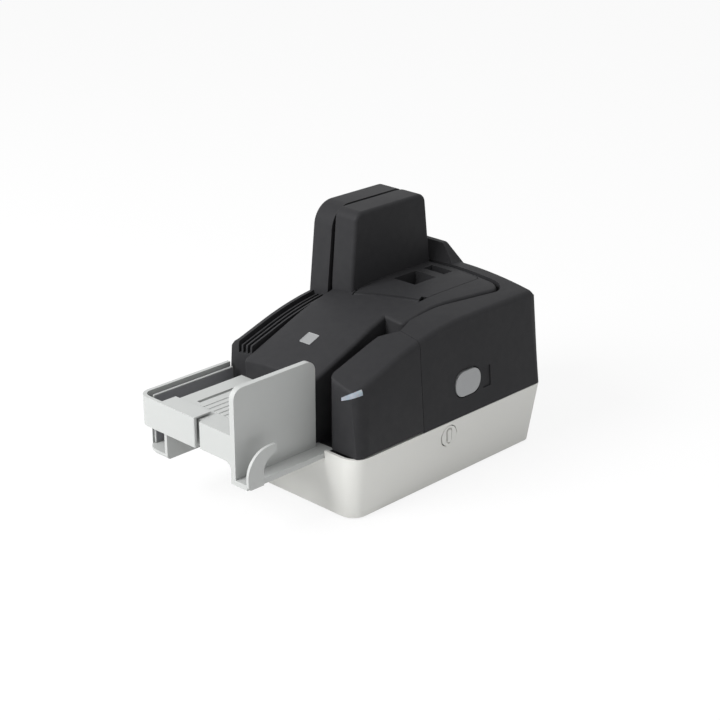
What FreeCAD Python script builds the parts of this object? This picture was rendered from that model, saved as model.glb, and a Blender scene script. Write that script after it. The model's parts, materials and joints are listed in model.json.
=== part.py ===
import FreeCAD, Part
import math
import os
import re
import Sketcher

# Cheque scanner with hinged covers, in millimetres.
# X runs to the right, Y to the back and Z up. The origin is the middle of the footprint, on the table.

Vector = FreeCAD.Vector
Rotation = FreeCAD.Rotation
Placement = FreeCAD.Placement

SIZES = [
    # General
    ("wall", 2.5, "wall of the black covers"),
    ("top_wall", 4.5, "top of the centre cover, which carries the lid's ledge"),
    ("seam_gap", 0.4, "gap in the seams between covers"),
    ("part_gap", 0.3, "running gap between pieces of different bodies"),
    ("bearing_gap", 0.05, "radial clearance of a shaft in its hole"),
    ("overrun", 6, "how far a cutting shape passes what it cuts"),
    # Lower housing
    ("foot_height", 1.5, "how far the rubber feet stand out"),
    ("foot_radius", 6, "rubber feet"),
    ("foot_inset_x", 16, "foot centre from the side"),
    ("foot_inset_y", 18, "foot centre from the end"),
    ("foot_seat", 1, "depth of the recess that holds a foot"),
    ("vent_width", 2.5, "air slot in the floor"),
    ("vent_length", 34, "air slot in the floor"),
    ("vent_pitch", 6, "from one air slot to the next"),
    ("vents", 6, "number of air slots"),
    ("vent_x", 16, "left side of the first air slot"),
    ("vent_y", -62, "front end of the air slots"),
    ("label_width", 60, "blank recess for a label, across"),
    ("label_length", 36, "blank recess for a label, along"),
    ("label_depth", 0.4, "depth of the label recess"),
    ("label_y", 28, "front of the label recess"),
    ("base_half_y", 100, "half length at the bottom"),
    ("side_lean", 5, "how far each side leans out up to the seam"),
    ("front_lean", 3, "how far the front leans out up to the seam"),
    ("rear_lean", 6, "how far the rear leans out up to the seam"),
    ("base_corner", 12, "corner radius at the bottom"),
    ("base_rear_corner", 6, "corner radius at the bottom, at the rear"),
    ("base_wall", 2.5, "wall of the lower housing"),
    ("base_floor", 3, "floor of the lower housing"),
    ("seam_z", 50, "height of the seam between grey and black"),
    ("seam_half_x", 75, "half width at the seam"),
    ("seam_corner", 14, "corner radius at the seam"),
    ("seam_rear_corner", 6, "corner radius at the seam, at the rear"),
    ("boss_radius", 4, "posts that carry the track plate"),
    ("screw_radius", 1.5, "screws of the track plate"),
    ("screw_head_radius", 2.8, "heads of the screws"),
    ("screw_head", 1.4, "height of a head"),
    ("screw_depth", 12, "thread below the track plate"),
    ("front_screw_x", 60, "front screws from the middle"),
    ("front_screw_y", -84, "row of the front screws"),
    ("rear_screw_right_x", 62, "rear right screw"),
    ("rear_screw_left_x", -31, "rear left screw"),
    ("rear_screw_y", 92.9, "row of the rear screws"),
    # Outer form of the covers
    ("draft_angle", 4.5, "degrees that the sides lean in"),
    ("top_z", 133, "top of the covers on the middle line"),
    ("crown_radius", 348, "radius of the crown across the top"),
    ("knee_radius", 270, "radius between the slope and the top"),
    ("knee_end_y", 22.6, "where the top turns level"),
    ("slope_angle", 18.26, "degrees of the front slope"),
    ("slope_run", 90, "length of the slope below the knee"),
    ("form_margin", 10, "how far the crowned block passes the sides"),
    ("side_radius", 5, "rounding along the top of the sides"),
    ("form_depth", 165, "depth of the block under the crown"),
    ("form_rear_y", 125, "rear end of the block"),
    ("hump_top_z", 146, "top of the hump behind the reader"),
    ("hump_right_x", -20, "right end of the hump's top"),
    ("hump_foot_x", -4, "foot of the hump's ramp"),
    ("hump_front_y", 84.6, "front face of the hump"),
    ("hump_lean", 11, "how far the front of the hump leans back up to its top"),
    ("hump_radius", 5, "rounding at the top of its ramp"),
    ("hump_edge", 3, "rounding along its outer edges"),
    ("nose_radius", 14, "rounding of the feeder cover's nose"),
    ("nose_front_y", -98.4, "front of the nose"),
    ("feeder_corner", 8, "upright corner of the feeder cover beside the hopper"),
    ("fin_drop", 4.3, "how far the left side cover's top lies below the right side's"),
    # Slope of the centre cover
    ("panel_angle", 21.8, "degrees of the centre cover's slope"),
    ("panel_knee_radius", 233, "radius between the centre cover's slope and its top"),
    ("panel_knee_end_y", 35, "where the centre cover's top turns level"),
    ("panel_run", 85, "length of the centre cover's slope"),
    ("panel_front_y", -99, "front of the centre cover"),
    ("panel_lip_radius", 6, "rounding of its front edge"),
    # Document path
    ("path_z", 48, "floor that a document runs on"),
    ("plate_bottom_z", 45.3, "underside of the track plate"),
    ("path_gap", 3, "width of the slot that a document runs in"),
    ("island_left_x", -45.5, "left side of what the path goes round"),
    ("island_rear_y", 83, "its rear side"),
    ("island_front_right_x", 27, "its right side, beside the hopper"),
    ("notch_front_y", -52, "front of the notch behind the hopper"),
    ("notch_rear_x", 24.3, "right side of the island at the notch"),
    ("notch_rear_y", -20, "face behind the hopper"),
    ("island_right_x", 43, "right side beside the entrance slot"),
    ("island_bend_y", 14, "where the right side starts to widen"),
    ("island_rear_right_x", 53, "right side at the rear"),
    ("notch_radius", 5, "corners of the notch"),
    ("bend_radius", 120, "bend of the right side"),
    ("rear_right_radius", 12, "corner of the island at the rear right"),
    ("rear_left_radius", 20, "corner of the island at the rear left"),
    ("island_front_radius", 3, "front corners of the island"),
    # Feeder cover
    ("feeder_inner_x", 42, "right wall of the hopper"),
    ("feeder_rear_y", -31.3, "seam to the transport cover"),
    ("feeder_hinge_x", 72.5, "hinge line of the feeder cover"),
    ("feeder_hinge_z", 52.9, "height of that hinge line"),
    ("feeder_hinge_radius", 2.5, "rounding of the lower edge about the hinge"),
    ("flare_x", 50, "entrance funnel at the seam"),
    ("flare_y", -17, "where the funnel meets the slot"),
    ("flare_front_y", -46, "front end of the funnel"),
    # Rear post and hinge pins
    ("cover_pin_x", -46, "hinge pin of the transport cover"),
    ("cover_pin_y", 97, "hinge pin of the transport cover"),
    ("cover_end_radius", 11, "round end of the transport cover"),
    ("reader_pin_x", -69, "hinge pin of the outer reader"),
    ("reader_pin_y", 76, "hinge pin of the outer reader"),
    ("post_radius", 15.2, "round front corner of the post"),
    ("post_right_x", -38, "right side of the post"),
    ("pin_radius", 2, "hinge pins"),
    ("pin_top_z", 104, "top of the hinge pins"),
    ("knuckle_radius", 5, "knuckles of the outer reader"),
    ("knuckle_height", 8, "height of a knuckle"),
    ("lower_knuckle_z", 58, "underside of the lower knuckle"),
    ("upper_knuckle_z", 92, "underside of the upper knuckle"),
    # Reader tower
    ("tower_right_x", -24, "right side of the inner half"),
    ("tower_left_x", -69.5, "left side of the outer half"),
    ("tower_top_z", 190, "top of the reader tower"),
    ("tower_foot_y", -6, "front of the inner half at the covers"),
    ("tower_front_y", -1, "front of the inner half at the top"),
    ("tower_rear_y", 76, "rear of the inner half at the top"),
    ("tower_radius", 8, "top corners of the inner half, and rear top corner of the outer half"),
    ("outer_radius", 19, "front top corner of the outer half"),
    ("tower_edge", 3, "rounding of the outer edges"),
    ("outer_foot_y", -8.6, "front of the outer half at the covers"),
    ("outer_foot_z", 121, "foot of the outer half at the front"),
    ("outer_front_y", -1.5, "front of the outer half at the top"),
    ("outer_rear_y", 75.5, "rear of the outer half at the top"),
    ("outer_rear_foot_y", 79, "rear of the outer half at its foot"),
    ("outer_step_z", 127, "underside of the outer half behind the door"),
    ("sensor_width", 15, "image sensor along the path"),
    ("sensor_depth", 11, "image sensor across the path"),
    ("sensor_y", 20, "front of the image sensors"),
    ("sensor_bottom_z", 52, "underside of the image sensors"),
    ("sensor_top_z", 158, "top of the image sensors"),
    ("glass", 1.5, "window of an image sensor"),
    # Left side cover
    ("fin_front_y", -88, "front of the fin"),
    ("fin_left_x", -67.2, "outer face of the fin"),
    ("fin_thickness", 4, "fin of the left side cover"),
    ("trough_drop", 9, "depth of the channel behind the fin"),
    ("guide_rib", 1.8, "ribs in the channel"),
    ("guide_ribs", 3, "number of ribs"),
    ("guide_rib_pitch", 4.9, "from one rib to the next"),
    ("guide_rib_drop", 2.5, "ribs below the fin"),
    ("rebate_foot_z", 77, "where the side starts to lean back under the fin"),
    ("rebate_top_z", 101, "where the fin's outer face starts"),
    ("left_room_top_z", 82, "room for the rollers"),
    ("left_room_x", -69.5, "left side of that room"),
    # Imprinter lid and ink cartridge
    ("lid_left_x", -22, "left side of the imprinter lid"),
    ("lid_right_x", 30, "right side of the imprinter lid"),
    ("lid_front_left_y", -7, "front of the lid at its left end"),
    ("lid_front_right_y", 12, "front of the lid at its right end"),
    ("lid_rear_y", 79.5, "rear of the lid"),
    ("lid_thickness", 2, "plate of the lid"),
    ("lid_ledge", 2.2, "ledge that the lid lies on"),
    ("lid_hinge_radius", 2.2, "rounding of the front edge about its hinge"),
    ("lid_pin_radius", 0.9, "pins of the lid"),
    ("lid_pin_reach", 1.6, "pin beyond the lid at each end"),
    ("lid_room_radius", 5.1, "room about the lid's hinge"),
    ("lid_corner_radius", 6, "reach of the notch at the lid's front right corner"),
    ("lid_corner_inset", 1.6, "how far that notch reaches in from the end of the hinge"),
    ("scoop_left_x", -14.7, "left side of both finger scoops"),
    ("scoop_right_x", 7, "right side of both finger scoops"),
    ("front_scoop_y", 30.7, "front of the front scoop"),
    ("front_scoop_length", 24.5, "front scoop along Y"),
    ("rear_scoop_y", 64.3, "front of the rear scoop"),
    ("rear_scoop_length", 10.2, "rear scoop along Y"),
    ("scoop_depth", 13, "floor of the scoops below the top of the lid"),
    ("scoop_wall", 1.5, "walls of the scoops"),
    ("cartridge_left_x", -5.5, "left side of the ink cartridge"),
    ("cartridge_width", 22, "cartridge across"),
    ("cartridge_front_y", 48, "front of the cartridge"),
    ("cartridge_bottom_z", 54, "underside of the cartridge"),
    ("cartridge_top_z", 112, "top of the cartridge"),
    ("cartridge_step_z", 76, "top of the cartridge's nose"),
    ("cartridge_nose_y", 66, "rear end of the cartridge's nose"),
    ("cartridge_radius", 2, "corners of the cartridge"),
    # Rollers
    ("drive_radius", 8, "drive rollers"),
    ("pinch_radius", 6, "pinch rollers"),
    ("feed_radius", 10.5, "feed roller"),
    ("feed_x", 17.5, "axis of the feed roller"),
    ("feed_y", -66, "axis of the feed roller"),
    ("shaft_radius", 1.5, "shafts of the driven rollers"),
    ("pulley_radius", 6, "pulleys"),
    ("pulley_flange", 0.8, "flange of a pulley"),
    ("belt_bottom_z", 38, "underside of the belt"),
    ("belt_width", 5, "belt"),
    ("belt_thickness", 1.2, "belt"),
    ("roller_bottom_z", 51, "underside of the rollers"),
    ("roller_height", 26, "height of the rollers"),
    ("tyre_width", 8, "rubber tyre of a roller"),
    ("hub_inset", 1.2, "hub below the tyres"),
    ("entrance_roller_y", -5, "row of the entrance rollers"),
    ("rear_roller_right_x", 31, "rear right pair of rollers"),
    ("rear_roller_left_x", -14.7, "rear left pair of rollers"),
    ("reader_roller_y", 46, "row of the rollers at the reader"),
    ("exit_roller_y", -66, "row of the exit rollers"),
    ("roller_window_margin", 1, "opening round a roller that meets the path"),
    ("pinch_pin_radius", 1, "pins of the pinch rollers"),
    ("shelf_thickness", 2.5, "shelf that carries the pinch roller pins"),
    ("motor_x", -10, "axis of the motor"),
    ("motor_y", -70, "axis of the motor"),
    ("motor_radius", 14, "motor"),
    ("motor_top_z", 36, "top of the motor"),
    # Magnetic head
    ("head_y", 16, "front of the magnetic head"),
    ("head_width", 9, "head across the path"),
    ("head_depth", 9, "head along the path"),
    ("head_bottom_z", 51, "underside of the head"),
    ("head_height", 14, "height of the head"),
    ("head_round", 2.5, "rounding of its face"),
    # Document tray
    ("tray_front_y", -177, "front of the document tray"),
    ("tray_rear_y", -99.4, "rear end of the tray's plate"),
    ("tray_left_x", -48, "left side of the tray"),
    ("tray_top_z", 81, "top of the tray's plate"),
    ("tray_plate", 3, "plate of the tray"),
    ("apron_bottom_z", 60, "lower edge of the apron"),
    ("apron", 3, "thickness of the apron"),
    ("apron_corner", 6, "hollow corner where the apron's lower edge meets the divider"),
    ("tray_step_x", -6, "left end of the apron's proud part"),
    ("tray_step_y", -173.4, "front of the recessed part"),
    ("divider_left_x", 26.5, "left face of the upright divider"),
    ("divider_right_x", 31.2, "right face of the upright divider"),
    ("divider_top_z", 116, "top of the divider"),
    ("divider_radius", 8, "front top corner of the divider"),
    ("hopper_floor_z", 44, "underside of the hopper's floor"),
    ("hopper_right_x", 43, "right side of the hopper's floor"),
    ("tray_rear_end_y", -92.4, "rear end of the floors, against the track plate"),
    ("tray_rib", 0.4, "height of the ribs on the tray"),
    ("tray_rib_width", 3.6, "ribs on the tray"),
    ("tray_rib_pitch", 5.6, "from one rib to the next"),
    ("tray_ribs", 9, "number of ribs"),
    ("tray_rib_first_x", -27, "left side of the first rib"),
    ("tray_rib_front_y", -158, "front end of the ribs"),
    ("tray_slot_x", -34.5, "long slot in the tray"),
    ("tray_slot_width", 3.2, "long slot"),
    ("tray_slot_front_y", -154.5, "front end of the long slot"),
    ("finger_left_x", 42.2, "finger that steadies a document"),
    ("finger_thickness", 2.3, "finger"),
    ("finger_width", 14.4, "width of the finger's upright"),
    ("finger_bend_z", 71, "top of the finger's upright"),
    ("finger_bend_radius", 20, "bend of the finger"),
    ("finger_tip_y", -150, "tip of the finger"),
    ("finger_tip_z", 72.6, "height of the tip"),
    ("finger_depth", 6, "height of the finger's arm"),
    # Exit tray, side panel and stopper
    ("exit_left_x", -69.5, "left side of the exit tray"),
    ("exit_wall", 2.7, "left wall of the exit tray"),
    ("exit_right_x", -43, "right side of the exit tray"),
    ("exit_bottom_z", 39, "underside of the exit tray"),
    ("exit_floor_z", 43, "floor of the exit tray"),
    ("exit_lip_radius", 3, "lower edges of the exit tray"),
    ("exit_corner", 14, "front left corner of the exit tray, seen from above"),
    ("panel_gap_x", -66.5, "left face of the side panel"),
    ("side_panel", 2, "thickness of the side panel"),
    ("side_panel_top_z", 81.5, "top of the side panel"),
    ("side_panel_rear_y", -92.7, "rear end of the side panel"),
    ("stopper_left_x", -72.5, "left side of the stopper's arm"),
    ("stopper_front_y", -178.8, "front of the stopper"),
    ("stopper_right_x", -9.5, "right end of the stopper's front"),
    ("stopper_bottom_z", 60.3, "underside of the stopper"),
    ("stopper_top_z", 83.5, "top of the stopper"),
    ("stopper_wall", 3, "walls of the stopper"),
    ("stopper_corner", 10, "front left corner of the stopper"),
    ("stopper_rear_y", -91.5, "rear end of the stopper's arm"),
    ("stopper_plate_rear_y", -163, "rear edge of the stopper's top plate"),
    ("stopper_plate_bottom_z", 82.2, "underside of the top plate"),
    # Release button, status light and power button
    ("button_y", 5, "front end of the release button"),
    ("button_width", 28, "length of the button along Y"),
    ("button_bottom_z", 65, "underside of the button"),
    ("button_height", 20.5, "height of the button"),
    ("button_radius", 9.5, "ends of the button"),
    ("button_face_x", 74, "outer face of the button"),
    ("button_depth", 8, "thickness of the button"),
    ("button_gap", 0.6, "gap round the button"),
    ("button_edge", 0.8, "rounding of its face"),
    ("pocket_y", 36, "shallow pocket beside the release button"),
    ("pocket_length", 9, "pocket along Y"),
    ("pocket_bottom_z", 65.5, "underside of the pocket"),
    ("pocket_height", 16.5, "height of the pocket"),
    ("pocket_depth", 0.9, "depth of the pocket"),
    ("light_x", 56.5, "left end of the status light"),
    ("light_length", 34, "how far back the status light reaches from the front of the block"),
    ("light_width", 5, "thickness of the status light"),
    ("light_taper", 2.6, "height of the status light at its left end"),
    ("light_bottom_z", 91.5, "lower left end of the status light"),
    ("light_tilt", 24, "degrees"),
    ("power_y", -2.3, "axis of the power button"),
    ("power_z", 38.5, "axis of the power button"),
    ("power_radius", 8, "power button"),
    ("power_face_x", 74.2, "outer face of the power button"),
    ("power_depth", 7, "thickness of the power button"),
    ("power_bar_width", 4, "raised bar, across"),
    ("power_bar_height", 10.5, "raised bar, upright"),
    ("power_bar", 1, "height of the bar above the face"),
    ("power_gap", 0.7, "gap round the power button"),
    ("power_groove", 1.1, "groove round the raised bar"),
    ("bar_round_share", 0.49, "rounding of the bar's ends, as a share of its width"),
    # Electronics
    ("board_left_x", -26, "left side of the circuit board"),
    ("board_right_x", 58, "right side of the circuit board"),
    ("board_front_y", -30, "front of the circuit board"),
    ("board_inset", 6, "rear edge of the board from the end of the housing"),
    ("board_thickness", 1.6, "circuit board"),
    ("standoff", 4.5, "height of the board's posts"),
    ("standoff_radius", 3, "posts of the board"),
    ("standoff_inset", 6, "posts from the board's edges"),
    ("inlet_x", 24, "middle of the power inlet"),
    ("inlet_width", 14, "power inlet"),
    ("inlet_height", 11, "power inlet"),
    ("inlet_depth", 16, "power inlet"),
    ("inlet_bore", 4, "round opening of the inlet"),
    ("inlet_pin_radius", 1, "pin of the inlet"),
    ("socket_x", -6, "middle of the data socket"),
    ("socket_width", 12, "data socket"),
    ("socket_height", 11, "data socket"),
    ("socket_bore_width", 8.5, "opening of the socket"),
    ("socket_bore_height", 7.8, "opening of the socket"),
    ("socket_bore_depth", 9, "depth of the opening"),
]

# Places that follow from the sizes and are used under a name of their own.
SUMS = {
    "form_half_x": "(seam_half_x + form_margin)",
    "base_half_x": "(seam_half_x - side_lean)",
    "seam_front_y": "(-base_half_y - front_lean)",
    "seam_rear_y": "(base_half_y + rear_lean)",
    "board_rear_y": "(base_half_y - board_inset)",
}
NAMES = {name for name, size, note in SIZES}
PARTS = []

# Two places nearer than this are the same place.
NEAR = 0.001

DOC = FreeCAD.newDocument("cheque_scanner")
SHEET = DOC.addObject("Spreadsheet::Sheet", "sizes")
for row, (alias, size, note) in enumerate(SIZES, start=1):
    SHEET.set("A%d" % row, alias)
    SHEET.set("B%d" % row, str(size))
    SHEET.set("C%d" % row, note)
    SHEET.setAlias("B%d" % row, alias)
DOC.recompute()

PLANES = {
    "XY": (Rotation(), Vector(0, 0, 1), "z"),
    "XZ": (Rotation(Vector(1, 0, 0), 90), Vector(0, 1, 0), "y"),
    "YZ": (Rotation(Vector(1, 1, 1), 120), Vector(1, 0, 0), "x"),
}
ALONG = {
    "x": Vector(1, 0, 0),
    "y": Vector(0, 1, 0),
    "-y": Vector(0, -1, 0),
    "z": Vector(0, 0, 1),
}


def cell(text):
    """The same sum, with each size written as a cell of the sheet."""
    spelled = re.sub(r"[a-z_]+", lambda word: SUMS.get(word[0], word[0]), text)
    return re.sub(r"[a-z_]+", lambda word: "sizes." + word[0] if word[0] in NAMES else word[0], spelled)


def size(text):
    """The number that a sum of sizes gives."""
    result = SHEET.evalExpression(cell(text))
    return float(getattr(result, "Value", result))


def bind(feature, **sums):
    """Bind each named property of a feature to a sum of sizes."""
    for name, text in sums.items():
        feature.setExpression(name, cell(text))


def put(feature, x="0", y="0", z="0"):
    """Bind the place of a feature."""
    for axis, text in (("x", x), ("y", y), ("z", z)):
        feature.setExpression("Placement.Base." + axis, cell(text))
    return feature


def trace(sketch, points, closed=True):
    """Draw a line through points given as (across, up) or (across, up, corner radius)."""
    count = len(points)
    places = [Vector(size(point[0]), size(point[1]), 0) for point in points]
    radii = [size(point[2]) if len(point) > 2 else 0 for point in points]
    for place in places:
        sketch.addGeometry(Part.Point(place), True)
    ends = []
    middles = []
    for i, place in enumerate(places):
        if not radii[i]:
            ends.append((place, place))
            middles.append(None)
            continue
        back = (places[i - 1] - place).normalize()
        onward = (places[(i + 1) % count] - place).normalize()
        half = back.getAngle(onward) / 2
        reach = radii[i] / math.tan(half)
        bisector = (back + onward).normalize()
        ends.append((place + back * reach, place + onward * reach))
        middles.append(place + bisector * (radii[i] / math.sin(half) - radii[i]))
    spans = count if closed else count - 1
    lines = []
    for i in range(spans):
        line = Part.LineSegment(ends[i][1], ends[(i + 1) % count][0])
        lines.append(sketch.addGeometry(line, False))
    for i, point in enumerate(points):
        constrain = sketch.addConstraint
        before = lines[i - 1] if closed or i else None
        after = lines[i] if i < spans else None
        for kind, text in (("DistanceX", point[0]), ("DistanceY", point[1])):
            index = constrain(Sketcher.Constraint(kind, -1, 1, i, 1, size(text)))
            sketch.setExpression("Constraints[%d]" % index, cell(text))
        if middles[i] is None:
            if before is not None:
                constrain(Sketcher.Constraint("Coincident", before, 2, i, 1))
            if after is not None:
                constrain(Sketcher.Constraint("Coincident", after, 1, i, 1))
            continue
        turn = (places[i] - ends[i][0]).cross(ends[i][1] - places[i]).z
        first, last = (1, 2) if turn > 0 else (2, 1)
        arc = Part.Arc(ends[i][first - 1], middles[i], ends[i][last - 1])
        arc = sketch.addGeometry(arc, False)
        constrain(Sketcher.Constraint("Tangent", before, 2, arc, first))
        constrain(Sketcher.Constraint("Tangent", arc, last, after, 1))
        constrain(Sketcher.Constraint("PointOnObject", i, 1, before))
        constrain(Sketcher.Constraint("PointOnObject", i, 1, after))
        index = constrain(Sketcher.Constraint("Radius", arc, radii[i]))
        sketch.setExpression("Constraints[%d]" % index, cell(point[2]))
    return sketch


def outline(name, plane, points, level="0", body=None):
    """A closed sketch on a plane, or on a plane of a body, at a level along its normal."""
    rotation, normal, axis = PLANES[plane]
    if body is None:
        sketch = DOC.addObject("Sketcher::SketchObject", name)
        sketch.Placement = Placement(normal * size(level), rotation)
        sketch.setExpression("Placement.Base." + axis, cell(level))
    else:
        sketch = body.newObject("Sketcher::SketchObject", name)
        attach(sketch, body, plane)
        sign = "-" if plane == "XZ" else ""
        sketch.setExpression("AttachmentOffset.Base.z", cell(sign + "(" + level + ")"))
    return trace(sketch, points)


def attach(sketch, body, plane):
    """Lay a sketch on one of its body's own planes."""
    support = next(item for item in body.Origin.OriginFeatures if item.Role == plane + "_Plane")
    sketch.AttachmentSupport = (support, "")
    sketch.MapMode = "FlatFace"


def rounded(half_x, front_y, rear_y, radius, rear_radius):
    """The corners of a rounded rectangle, as points for an outline."""
    return [
        ("-(%s)" % half_x, front_y, radius),
        (half_x, front_y, radius),
        (half_x, rear_y, rear_radius),
        ("-(%s)" % half_x, rear_y, rear_radius),
    ]


def prism(name, sketch, length, axis="z", taper=None):
    """A solid drawn out from a sketch along an axis."""
    feature = DOC.addObject("Part::Extrusion", name)
    feature.Base = sketch
    feature.DirMode = "Custom"
    feature.Dir = ALONG[axis]
    feature.Solid = True
    bind(feature, LengthFwd=length)
    if taper:
        bind(feature, TaperAngle=taper)
    return feature


def box(name, x, y, z):
    """A box between two sums along each axis."""
    feature = DOC.addObject("Part::Box", name)
    for side, (low, high) in (("Length", x), ("Width", y), ("Height", z)):
        feature.setExpression(side, cell("(%s) - (%s)" % (high, low)))
    return put(feature, x[0], y[0], z[0])


def cylinder(name, x, y, z, radius, length, axis="z"):
    """A cylinder that starts at a place and runs along an axis."""
    feature = DOC.addObject("Part::Cylinder", name)
    bind(feature, Radius=radius, Height=length)
    feature.Placement = Placement(Vector(), Rotation(Vector(0, 0, 1), ALONG[axis]))
    return put(feature, x, y, z)


def fuse(name, *shapes):
    """One shape from several."""
    feature = DOC.addObject("Part::MultiFuse", name)
    feature.Shapes = list(shapes)
    feature.Refine = True
    return feature


def common(name, *shapes):
    """What several shapes share."""
    feature = DOC.addObject("Part::MultiCommon", name)
    feature.Shapes = list(shapes)
    return feature


def cut(name, base, *tools):
    """A shape less others."""
    feature = DOC.addObject("Part::Cut", name)
    feature.Base = base
    feature.Tool = tools[0] if len(tools) == 1 else fuse(name + "_tools", *tools)
    return feature


def grown(name, sketch, distance):
    """The outline of a sketch, moved outward, or inward where the distance is negative."""
    feature = DOC.addObject("Part::Offset2D", name)
    feature.Source = sketch
    bind(feature, Value=distance)
    return feature


def fillet(name, base, radius, chosen):
    """Round the edges of a shape that a test picks by their bounding boxes."""
    DOC.recompute()
    feature = DOC.addObject("Part::Fillet", name)
    feature.Base = base
    value = size(radius)
    edges = enumerate(base.Shape.Edges, start=1)
    feature.Edges = [(index, value, value) for index, edge in edges if chosen(edge.BoundBox)]
    return feature


def part(name, feature):
    """Name a finished piece and keep it for the export."""
    feature.Label = name
    PARTS.append((name, feature))
    return feature


def crown(name, top, angle, knee, knee_end, run):
    """A block whose top follows the side profile of the covers and is crowned across."""
    body = DOC.addObject("PartDesign::Body", name)
    path = body.newObject("Sketcher::SketchObject", name + "_path")
    attach(path, body, "YZ")
    corner_y = "(%s) - (%s) * tan((%s) / 2)" % (knee_end, knee, angle)
    reach = "((%s) * tan((%s) / 2) + (%s))" % (knee, angle, run)
    start_y = "%s - %s * cos(%s)" % (corner_y, reach, angle)
    start_z = "(%s) - %s * sin(%s)" % (top, reach, angle)
    trace(path, [(start_y, start_z), (corner_y, top, knee), ("form_rear_y", top)], closed=False)
    section = body.newObject("Sketcher::SketchObject", name + "_section")
    attach(section, body, "XZ")
    section.setExpression("AttachmentOffset.Base.z", cell("-form_rear_y"))
    crown_section(section, top)
    pipe = body.newObject("PartDesign::AdditivePipe", name + "_pipe")
    pipe.Profile = section
    pipe.Spine = path
    return body


def crown_section(sketch, top):
    """A block with an arc on top, drawn from its own sizes."""
    half = "form_half_x"
    shoulder = "(%s) - form_half_x * form_half_x / crown_radius / 2" % top
    floor = "(%s) - form_depth" % top
    corners = [("-" + half, floor), (half, floor), (half, shoulder), ("-" + half, shoulder)]
    places = [Vector(size(x), size(y), 0) for x, y in corners]
    sketch.addGeometry(Part.LineSegment(places[0], places[1]), False)
    sketch.addGeometry(Part.LineSegment(places[1], places[2]), False)
    side = sketch.addGeometry(Part.LineSegment(places[3], places[0]), False)
    arc = sketch.addGeometry(Part.Arc(places[2], Vector(0, size(top), 0), places[3]), False)
    constrain = sketch.addConstraint
    constrain(Sketcher.Constraint("Coincident", 0, 2, 1, 1))
    constrain(Sketcher.Constraint("Coincident", 1, 2, arc, 1))
    constrain(Sketcher.Constraint("Coincident", arc, 2, side, 1))
    constrain(Sketcher.Constraint("Coincident", side, 2, 0, 1))
    constrain(Sketcher.Constraint("Vertical", 1))
    constrain(Sketcher.Constraint("Vertical", side))
    constrain(Sketcher.Constraint("Horizontal", 0))
    for kind, line, point, text in (
        ("DistanceX", 0, 1, "-" + half),
        ("DistanceY", 0, 1, floor),
        ("DistanceX", 0, 2, half),
        ("DistanceY", 1, 2, shoulder),
        ("DistanceY", side, 1, shoulder),
    ):
        index = constrain(Sketcher.Constraint(kind, -1, 1, line, point, size(text)))
        sketch.setExpression("Constraints[%d]" % index, cell(text))
    index = constrain(Sketcher.Constraint("Radius", arc, sketch.Geometry[arc].Radius))
    sketch.setExpression("Constraints[%d]" % index, cell("crown_radius"))


def drafted(name, inset):
    """The four leaning sides above the seam, moved inward by an inset."""
    corners = rounded(
        "seam_half_x - (%s)" % inset,
        "seam_front_y + (%s)" % inset,
        "seam_rear_y - (%s)" % inset,
        "seam_corner - (%s)" % inset,
        "seam_rear_corner - (%s)" % inset,
    )
    sketch = outline(name + "_outline", "XY", corners, "seam_z")
    return prism(name, sketch, "hump_top_z + overrun - seam_z", taper="-draft_angle")


SIDES = drafted("sides", "0")
INNER_SIDES = drafted("inner_sides", "wall")
OUTER_CROWN = crown("outer_crown", "top_z", "slope_angle", "knee_radius", "knee_end_y", "slope_run")
INNER_CROWN = crown("inner_crown", "top_z - wall", "slope_angle", "knee_radius", "knee_end_y", "slope_run")


def covers_form():
    """The outside of the covers: drafted sides, crowned top and soft upper edges."""
    blank = common("cover_blank", SIDES, OUTER_CROWN)
    low = size("seam_z + slope_run / 3")
    high = size("top_z - wall")
    span = size("form_half_x")

    def along_side(bounds):
        if bounds.ZMin < low or bounds.ZMax > high:
            return False
        return bounds.XLength < span / 2 or bounds.YLength < span / 2 and bounds.YMax < 0

    return fillet("cover_form", blank, "side_radius", along_side)


def hump_form():
    """The raised housing behind the reader, over the turn of the path."""
    profile = outline("hump_profile", "XZ", [
        ("-form_half_x", "top_z - nose_radius"),
        ("hump_foot_x + nose_radius", "top_z - nose_radius"),
        ("hump_foot_x", "top_z"),
        ("hump_right_x", "hump_top_z", "hump_radius"),
        ("-form_half_x", "hump_top_z"),
    ], "hump_front_y")
    ridge = prism("hump_ridge", profile, "form_rear_y - hump_front_y", "y")
    lean = prism("hump_front", outline("hump_front_outline", "YZ", [
        ("hump_front_y", "top_z - nose_radius"),
        ("form_rear_y", "top_z - nose_radius"),
        ("form_rear_y", "hump_top_z + overrun"),
        ("hump_front_y + hump_lean", "hump_top_z + overrun"),
        ("hump_front_y", "top_z - side_radius"),
    ], "-form_half_x"), "form_half_x * 2", "x")
    blank = common("hump_blank", ridge, SIDES, lean)
    top = size("hump_top_z - wall")
    front = size("hump_front_y + hump_lean")
    return fillet("hump", blank, "hump_edge / 2", lambda bounds: bounds.ZMin > top and bounds.YMin > front)


FORM = covers_form()
HUMP = hump_form()
COVERS = fuse("covers_and_hump", FORM, HUMP)
INNER = common("cover_room", INNER_SIDES, INNER_CROWN)
COVER_Z = "seam_z + seam_gap"
COVER_HEIGHT = "hump_top_z + overrun - seam_z"

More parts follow.
